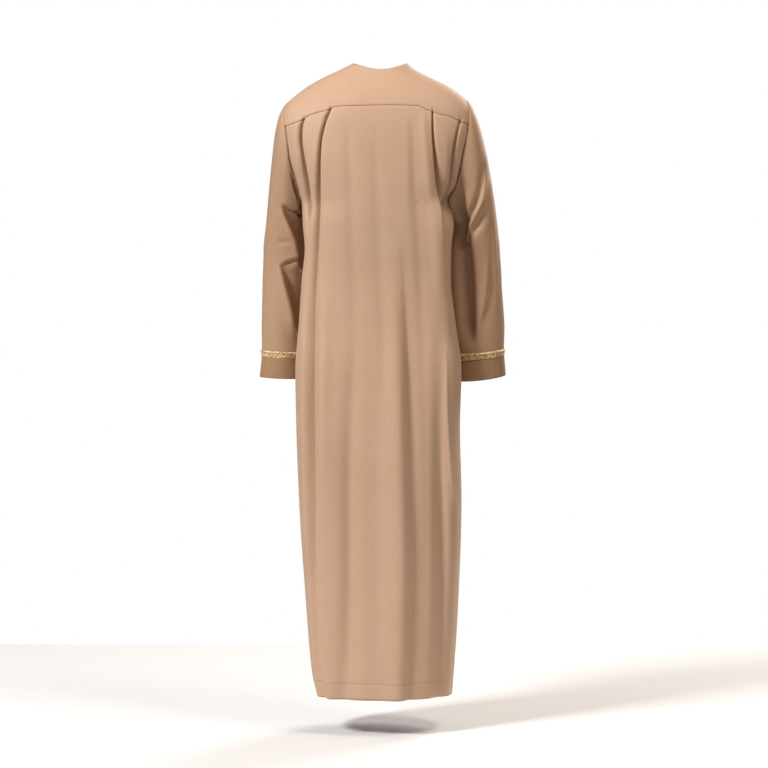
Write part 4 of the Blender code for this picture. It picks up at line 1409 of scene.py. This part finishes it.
def new_tree(name, sizes):
    """A Geometry Nodes tree with named sizes as inputs, and those inputs."""
    tree = bpy.data.node_groups.new(name, "GeometryNodeTree")
    tree.interface.new_socket("Geometry", in_out="INPUT", socket_type="NodeSocketGeometry")
    for size in sizes:
        tree.interface.new_socket(size, in_out="INPUT", socket_type="NodeSocketFloat")
    tree.interface.new_socket("Geometry", in_out="OUTPUT", socket_type="NodeSocketGeometry")
    return tree, add_node(tree, "NodeGroupInput").outputs


def end_tree(tree, geometry, material):
    """End a tree in real geometry with its material."""
    real = add_node(tree, "GeometryNodeRealizeInstances", {"Geometry": geometry})
    smooth_faces = add_node(tree, "GeometryNodeSetShadeSmooth", {"Geometry": real.outputs[0]})
    finish = add_node(
        tree, "GeometryNodeSetMaterial", {"Geometry": smooth_faces.outputs[0], "Material": material}
    )
    add_node(tree, "NodeGroupOutput", {"Geometry": finish.outputs[0]})
    return tree


def points_along(tree, curve, pitch):
    """Evenly spaced points along curves."""
    inputs = {"Curve": curve, "Length": pitch}
    return add_node(tree, "GeometryNodeCurveToPoints", inputs, mode="LENGTH").outputs


def upright_curve(tree, curve):
    """A level curve whose normals are level too."""
    return add_node(tree, "GeometryNodeSetCurveNormal", {"Curve": curve}, mode="Z_UP").outputs[0]


def circle(tree, corners, radius):
    """A round line."""
    inputs = {"Resolution": corners, "Radius": radius}
    return add_node(tree, "GeometryNodeCurvePrimitiveCircle", inputs, mode="RADIUS").outputs[0]


def swept(tree, curve, profile):
    """A tube along a curve."""
    return add_node(tree, "GeometryNodeCurveToMesh", {"Curve": curve, "Profile Curve": profile}).outputs[0]


def stitches_tree(material):
    """Stitches laid end to end along curves."""
    tree, given = new_tree("stitches_along_a_seam", ("Pitch", "Stitch Length", "Thread Radius"))
    points = points_along(tree, given["Geometry"], given["Pitch"])
    tangent = points["Tangent"]
    along = add_node(tree, "FunctionNodeAlignRotationToVector", {"Vector": tangent}, axis="Z").outputs[0]
    radius = given["Thread Radius"]
    bead = add_node(tree, "GeometryNodeMeshIcoSphere", {"Radius": radius, "Subdivisions": 1})
    longer = reckon(tree, "DIVIDE", given["Stitch Length"], reckon(tree, "MULTIPLY", radius, 2.0))
    scale = add_node(tree, "ShaderNodeCombineXYZ", {"X": 1.0, "Y": 1.0, "Z": longer}).outputs[0]
    inputs = {"Points": points["Points"], "Instance": bead.outputs["Mesh"], "Rotation": along}
    laid = add_node(tree, "GeometryNodeInstanceOnPoints", {**inputs, "Scale": scale})
    return end_tree(tree, laid.outputs[0], material)


def cord_tree(material):
    """Cord of twisted strands along a ring."""
    tree, given = new_tree("twisted_cord", ("Twist Length", "Strand Offset", "Strand Radius", "Step"))
    inputs = {"Curve": given["Geometry"], "Length": given["Step"]}
    ring = add_node(tree, "GeometryNodeResampleCurve", inputs, mode="LENGTH").outputs[0]
    upright = upright_curve(tree, ring)
    length = add_node(tree, "GeometryNodeSplineParameter").outputs["Length"]
    turns = reckon(tree, "DIVIDE", length, given["Twist Length"])
    normal = add_node(tree, "GeometryNodeInputNormal").outputs[0]
    tangent = add_node(tree, "GeometryNodeInputTangent").outputs[0]
    inputs = {0: normal, 1: tangent}
    beside = add_node(tree, "ShaderNodeVectorMath", inputs, operation="CROSS_PRODUCT").outputs[0]
    strands = add_node(tree, "GeometryNodeJoinGeometry")
    profile = circle(tree, CORD_SIDES, given["Strand Radius"])
    for number in range(CORD_STRANDS):
        angle = reckon(tree, "MULTIPLY_ADD", turns, math.tau, math.tau * number / CORD_STRANDS)
        moved = []
        for direction, operation in ((normal, "COSINE"), (beside, "SINE")):
            reach = reckon(tree, "MULTIPLY", reckon(tree, operation, angle), given["Strand Offset"])
            inputs = {0: direction, "Scale": reach}
            moved.append(add_node(tree, "ShaderNodeVectorMath", inputs, operation="SCALE").outputs[0])
        inputs = {0: moved[0], 1: moved[1]}
        offset = add_node(tree, "ShaderNodeVectorMath", inputs, operation="ADD").outputs[0]
        strand = add_node(tree, "GeometryNodeSetPosition", {"Geometry": upright, "Offset": offset})
        tree.links.new(swept(tree, strand.outputs[0], profile), strands.inputs[0])
    return end_tree(tree, strands.outputs[0], material)


def loops_tree(material):
    """Row of overlapping loops of thread along a ring, lying flat on the sleeve."""
    tree, given = new_tree("braid_loops", ("Pitch", "Loop Width", "Loop Length", "Thread Radius"))
    points = points_along(tree, upright_curve(tree, given["Geometry"]), given["Pitch"])
    align = "FunctionNodeAlignRotationToVector"
    outwards = add_node(tree, align, {"Vector": points["Normal"]}, axis="Z").outputs[0]
    inputs = {"Rotation": outwards, "Vector": points["Tangent"]}
    along = add_node(tree, align, inputs, axis="X", pivot_axis="Z").outputs[0]
    inputs = {"X": given["Loop Length"], "Y": given["Loop Width"], "Z": 1.0}
    shape = add_node(tree, "ShaderNodeCombineXYZ", inputs).outputs[0]
    inputs = {"Geometry": circle(tree, LOOP_CORNERS, radius=0.5), "Scale": shape}
    oval = add_node(tree, "GeometryNodeTransform", inputs).outputs[0]
    loop = swept(tree, oval, circle(tree, LOOP_THREAD_SIDES, given["Thread Radius"]))
    inputs = {"Points": points["Points"], "Instance": loop, "Rotation": along}
    laid = add_node(tree, "GeometryNodeInstanceOnPoints", inputs)
    return end_tree(tree, laid.outputs[0], material)


def curve_object(name, lines):
    """A curve object from lines of points in millimetres, each with whether it closes on itself."""
    data = bpy.data.curves.new(name, "CURVE")
    data.dimensions = "3D"
    for points, closed in lines:
        spline = data.splines.new("POLY")
        spline.points.add(len(points) - 1)
        packed = np.concatenate((np.asarray(points) * MM, np.ones((len(points), 1))), axis=1)
        spline.points.foreach_set("co", packed.ravel())
        spline.use_cyclic_u = closed
    return place_object(name, data)


def grown(name, lines, tree, sizes):
    """Grow a plain mesh from lines with a tree and its sizes in millimetres."""
    source = curve_object(name + "_lines", lines)
    modifier = source.modifiers.new("grow", "NODES")
    modifier.node_group = tree
    for item in tree.interface.items_tree:
        if item.in_out == "INPUT" and item.name in sizes:
            modifier[item.identifier] = float(sizes[item.name] * MM)
    depsgraph = bpy.context.evaluated_depsgraph_get()
    mesh = bpy.data.meshes.new_from_object(source.evaluated_get(depsgraph))
    mesh.name = name
    source.modifiers.remove(modifier)
    bpy.data.objects.remove(source)
    return place_object(name, mesh)


def on_body(angles, heights, lift):
    """Points on the body's cloth, lifted off it."""
    angles, heights = np.broadcast_arrays(np.asarray(angles, float), np.asarray(heights, float))
    return body(angles, heights) + body_normal(angles, heights) * lift


def beside_armhole(side, turn, away):
    """Angle and height on the body at a distance from the armhole's edge."""
    angle, height = armhole(side, turn)
    around = np.radians(turn)
    middle = (ARMHOLE_TOP[side] + ARMPIT_HEIGHT) / 2
    out = away * np.sign(height - middle) * np.abs(np.cos(around))
    return angle - SIDE_SIGN[side] * away * TURN_FOR_EACH_MM * np.sin(around), height + out


def seam_lines(yoke_angles, yoke_heights):
    """Lines of stitches over the body of the robe: points, and whether the line closes on itself."""
    above_seam = yoke_heights[2:-2] + ABOVE_YOKE_SEAM
    lines = [(on_body(yoke_angles[2:-2], above_seam, STITCH_LIFT), False)]
    turns = np.linspace(-ARMHOLE_STITCH_END, ARMHOLE_STITCH_END, ARMHOLE_STITCH_POINTS)
    for side in SIDES:
        for away in BESIDE_ARMHOLE:
            lines.append((on_body(*beside_armhole(side, turns, away), STITCH_LIFT), False))
        angles, heights = yoke_front_edge(side)
        share = np.linspace(*FRONT_SEAM_ENDS, FRONT_SEAM_POINTS) * (len(angles) - 1)
        places = np.arange(len(angles))
        angles = np.interp(share, places, angles) - SIDE_SIGN[side] * BESIDE_FRONT_SEAM
        lines.append((on_body(angles, np.interp(share, places, heights), STITCH_LIFT), False))
    around = np.linspace(0, 360, HEM_STITCH_POINTS + 1)[:-1]
    lines.append((on_body(around, HEM_HEIGHT + HEM_DEPTH, STITCH_LIFT - HEM_STITCH_SINK), True))
    bottom = PLACKET_BOTTOM + PLACKET_STITCH_BOTTOM
    heights = np.linspace(bottom, PLACKET_TOP - PLACKET_STITCH_TOP, PLACKET_ROWS)
    turn = placket_turn(heights, PLACKET_WIDTH / 2 - PLACKET_STITCH_INSET)
    on_placket = LAID_ON_GAP + CLOTH
    for edge in (-1, 1):
        lines.append((on_body(FRONT_MIDDLE + edge * turn, heights, on_placket + PLACKET_SIDE_LIFT), False))
    ends = FRONT_MIDDLE + np.linspace(-1, 1, PLACKET_END_POINTS) * turn[0]
    lines.append((on_body(ends, bottom, on_placket + PLACKET_END_LIFT), False))
    return lines


def make_stitching(yoke_angles, yoke_heights, tree):
    """Every row of stitches on the robe, as one mesh."""
    lines = seam_lines(yoke_angles, yoke_heights)
    for side in SIDES:
        ring, _ = ring_rows(side, (CUFF_END + CUFF_STITCH_HEIGHT,), (CUFF_STITCH_LIFT,))
        lines.append((ring[0], True))
    sizes = {"Pitch": STITCH_PITCH, "Stitch Length": STITCH_LENGTH, "Thread Radius": THREAD_RADIUS}
    finish_piece(grown("stitching", lines, tree, sizes), "cloth")


def even_pitch(ring, wanted):
    """The pitch nearest to the wanted one that closes a ring."""
    length = float(np.linalg.norm(np.roll(ring, -1, axis=0) - ring, axis=1).sum())
    return length / round(length / wanted)


def make_braid(side, backing, trees):
    """Gold braid: a flat band, a twisted cord along its top, a row of loops below it and an edge cord."""
    low = SLEEVE_END + BRAID_ABOVE_SEAM
    top = low + BRAID_HEIGHT - CORD_BELOW_TOP
    surface = LAID_ON_GAP + BRAID_BACKING
    heights = np.linspace(low, low + BRAID_HEIGHT, BRAID_ROWS)
    points, normals = ring_rows(side, heights, np.full(BRAID_ROWS, surface))
    name = f"braid_{side}_band"
    flip = side == "right"
    band = cloth_grid(name, points, normals, backing, closed=True, flip=flip, thickness=BRAID_BACKING)
    finish_piece(band, "braid", f"braid_{side}")

    def trim(part, tree, height, lift, pitch_name, pitch, sizes):
        """Grow one part of the trimming round the sleeve, with a pitch that closes its ring."""
        rings, _ = ring_rows(side, (height,), (surface + lift,), BRAID_TURNS)
        sizes = {pitch_name: even_pitch(rings[0], pitch), **sizes}
        thing = grown(f"braid_{side}_{part}", [(rings[0], True)], tree, sizes)
        finish_piece(thing, "braid", f"braid_{side}")

    sizes = {"Strand Offset": CORD_RADIUS - CORD_STRAND_RADIUS, "Strand Radius": CORD_STRAND_RADIUS}
    sizes["Step"] = CORD_STEP
    trim("cord", trees["cord"], top - CORD_RADIUS, CORD_LIFT, "Twist Length", CORD_TWIST, sizes)
    sizes = {"Loop Width": LOOP_WIDTH, "Loop Length": LOOP_LENGTH, "Thread Radius": LOOP_THREAD_RADIUS}
    middle = top - 2 * CORD_RADIUS - LOOP_WIDTH / 2
    trim("loops", trees["loops"], middle, LOOP_LIFT, "Pitch", LOOP_PITCH, sizes)
    sizes = {"Strand Offset": EDGE_STRAND_OFFSET, "Strand Radius": EDGE_STRAND_RADIUS, "Step": EDGE_STEP}
    trim("edge", trees["cord"], low + EDGE_RADIUS, EDGE_LIFT, "Twist Length", EDGE_TWIST, sizes)


def button_blank():
    """Round button with a rim and a dished middle, turned from its section."""
    shape = bmesh.new()
    across = BUTTON_RADIUS - column(BUTTON_ROWS, BUTTON_COLUMNS, "inset")
    heights = column(BUTTON_ROWS, BUTTON_COLUMNS, "height")
    line = [shape.verts.new((out * MM, 0, height * MM)) for out, height in zip(across, heights)]
    edges = [shape.edges.new(pair) for pair in zip(line, line[1:])]
    turn = {"axis": (0, 0, 1), "cent": (0, 0, 0), "angle": math.tau, "steps": BUTTON_SIDES}
    bmesh.ops.spin(shape, geom=line + edges, use_merge=True, **turn)
    bmesh.ops.remove_doubles(shape, verts=shape.verts, dist=0.001 * MM)
    bmesh.ops.recalc_face_normals(shape, faces=shape.faces)
    return shape


def button_holes():
    """Cylinders that cut a button's four holes."""
    shape = bmesh.new()
    radius = BUTTON_HOLE_RADIUS * MM
    size = {"radius1": radius, "radius2": radius, "depth": 2 * BUTTON_THICKNESS * MM}
    for across, along in ((-1, -1), (-1, 1), (1, -1), (1, 1)):
        middle = across * BUTTON_HOLE_PLACE, along * BUTTON_HOLE_PLACE, BUTTON_THICKNESS / 2
        place = Matrix.Translation(Vector(middle) * MM)
        bmesh.ops.create_cone(shape, cap_ends=True, segments=BUTTON_HOLE_SIDES, matrix=place, **size)
    return shape


def object_from(name, shape):
    """A new object from a bmesh, which is freed."""
    mesh = bpy.data.meshes.new(name)
    shape.to_mesh(mesh)
    shape.free()
    return place_object(name, mesh)


def button_mesh(plastic, thread):
    """A round four-hole button and its crossed thread."""
    blank = object_from("button_blank", button_blank())
    blank.data.materials.append(plastic)
    blank.data.materials.append(thread)
    cutter = object_from("button_holes", button_holes())
    cut = blank.modifiers.new("holes", "BOOLEAN")
    cut.operation = "DIFFERENCE"
    cut.object = cutter
    depsgraph = bpy.context.evaluated_depsgraph_get()
    drilled = bpy.data.meshes.new_from_object(blank.evaluated_get(depsgraph))
    bpy.data.objects.remove(blank)
    bpy.data.objects.remove(cutter)
    whole = bmesh.new()
    whole.from_mesh(drilled)
    rise = Matrix.Translation((0, 0, (BUTTON_DISH + BUTTON_THREAD_LIFT) * MM))
    scale = Matrix.Diagonal((2 * BUTTON_HOLE_PLACE, BUTTON_THREAD_WIDTH, BUTTON_THREAD_HEIGHT, 1.0))
    for turn in BUTTON_THREAD_TURNS:
        place = rise @ Matrix.Rotation(math.radians(turn), 4, "Z") @ scale
        made = bmesh.ops.create_icosphere(whole, subdivisions=2, radius=MM, matrix=place, calc_uvs=False)
        for vertex in made["verts"]:
            for face in vertex.link_faces:
                face.material_index = 1
    whole.to_mesh(drilled)
    whole.free()
    drilled.shade_smooth()
    drilled.set_sharp_from_angle(angle=math.radians(BUTTON_CREASE))
    return drilled


def make_buttons(plastic, thread):
    """Buttons down the placket."""
    pattern = button_mesh(plastic, thread)
    for number in range(BUTTON_COUNT):
        height = -NECK_DIP_FRONT - FIRST_BUTTON_BELOW_NECK - number * BUTTON_SPACING
        place = np.array(FRONT_MIDDLE), np.array(float(height))
        normal = body_normal(*place)
        point = body(*place) + normal * (LAID_ON_GAP + CLOTH + BUTTON_LIFT)
        mesh = pattern.copy()
        mesh.name = f"button_{number + 1}_sewn"
        turn = Vector(normal).to_track_quat("Z", "Y").to_matrix().to_4x4()
        mesh.transform(Matrix.Translation(Vector(point * MM)) @ turn)
        finish_piece(place_object(mesh.name, mesh), "button", f"button_{number + 1}")
    bpy.data.meshes.remove(pattern)


def make_camera():
    """The photograph's view: level, from behind."""
    data = bpy.data.cameras.new("studio_camera")
    data.sensor_width = SENSOR
    data.lens = SENSOR / 2 / math.tan(math.radians(VIEW_HALF_ANGLE))
    camera = place_object("studio_camera", data)
    camera.location = CAMERA_PLACE
    camera.rotation_euler = (math.radians(90), 0, 0)
    bpy.context.scene.camera = camera


def make_light(name, place, target, size, power, colour):
    """A square soft light aimed at a point, in metres."""
    data = bpy.data.lights.new(name, "AREA")
    data.shape = "SQUARE"
    data.size = size
    data.energy = power
    data.color = linear(colour)[:3]
    light = place_object(name, data)
    light.location = place
    light.rotation_euler = (Vector(target) - Vector(place)).to_track_quat("-Z", "Y").to_euler()


def make_world():
    """Pale warm light from all around, which the camera sees as white."""
    world = bpy.data.worlds.new("white_studio")
    world.use_nodes = True
    tree = world.node_tree
    tree.nodes.clear()
    inputs = {"Color": linear(AROUND_COLOUR), "Strength": AROUND_STRENGTH}
    lighting = add_node(tree, "ShaderNodeBackground", inputs).outputs[0]
    seen = add_node(tree, "ShaderNodeBackground", {"Color": linear("#FFFFFF"), "Strength": 1.0}).outputs[0]
    ray = add_node(tree, "ShaderNodeLightPath").outputs["Is Camera Ray"]
    either = add_node(tree, "ShaderNodeMixShader", {0: ray, 1: lighting, 2: seen})
    add_node(tree, "ShaderNodeOutputWorld", {"Surface": either.outputs[0]})
    bpy.context.scene.world = world


def make_floor():
    """Sheet of pale studio paper under the robe: matt, with a faint glow that keeps it near white."""
    mesh = bpy.data.meshes.new("studio_floor")
    corners = ((-1, -1), (1, -1), (1, 1), (-1, 1))
    points = [(across * FLOOR_REACH, along * FLOOR_REACH, FLOOR_HEIGHT) for across, along in corners]
    mesh.from_pydata(points, [], [(0, 1, 2, 3)])
    glow = {"Emission_Color": linear("#F4F8FF"), "Emission_Strength": PAPER_GLOW}
    paper, tree = start_material("studio_paper", Roughness=0.9, **glow)
    tone = mixed(tree, noise(tree, PAPER_PATCHES), linear("#E6E6E6"), linear("#ECECEC"))
    mesh.materials.append(end_material(paper, Base_Color=tone))
    place_object("studio_floor", mesh)


def make_studio():
    """Pale floor, white surroundings and soft lights from the upper left of the back view."""
    bpy.context.scene.view_settings.view_transform = "Standard"
    make_world()
    make_floor()
    for row in LIGHT_ROWS:
        make_light(**dict(zip(LIGHT_COLUMNS, row)))


def main():
    """Build every piece of the robe in the studio."""
    make_camera()
    cloth = poplin("poly_cotton_poplin", 1.0)
    # A lighter and two darker copies of the cloth: the sleeves and cuffs carry painted shade.
    sleeve_cloth_painted_shade = poplin("poly_cotton_poplin_sleeves_painted_shade", SLEEVE_PAINTED_SHADE)
    cuff_cloth_painted_shade = poplin("poly_cotton_poplin_cuffs_painted_shade", CUFF_PAINTED_SHADE)
    thread = sewing_thread()
    # Both braid threads carry painted glints in their colour.
    gold = braid_thread("metallised_braid_thread_painted_glints", "#C4A270", "#FEEDC2", metallic=0.3)
    backing = braid_thread("dull_braid_thread_painted_glints", "#B08E60", "#E0C692", metallic=0.15)
    trees = {"stitches": stitches_tree(thread), "cord": cord_tree(gold), "loops": loops_tree(gold)}
    back = back_grid()
    yoke_seam = back[0][-1], back[1][-1]
    finish_cloth(make_yoke(*yoke_grid(*yoke_seam), cloth), "yoke")
    finish_cloth(make_back(*back, cloth), "back_panel")
    finish_cloth(make_front(*front_grid(), cloth), "front_panel")
    finish_cloth(make_placket(cloth), "front_placket")
    for side in SIDES:
        finish_cloth(make_sleeve(side, sleeve_cloth_painted_shade), f"sleeve_{side}")
        finish_cloth(make_cuff(side, cuff_cloth_painted_shade), f"cuff_{side}")
        make_braid(side, backing, trees)
    make_buttons(button_polyester(), thread)
    make_stitching(*yoke_seam, trees["stitches"])
    make_studio()


main()
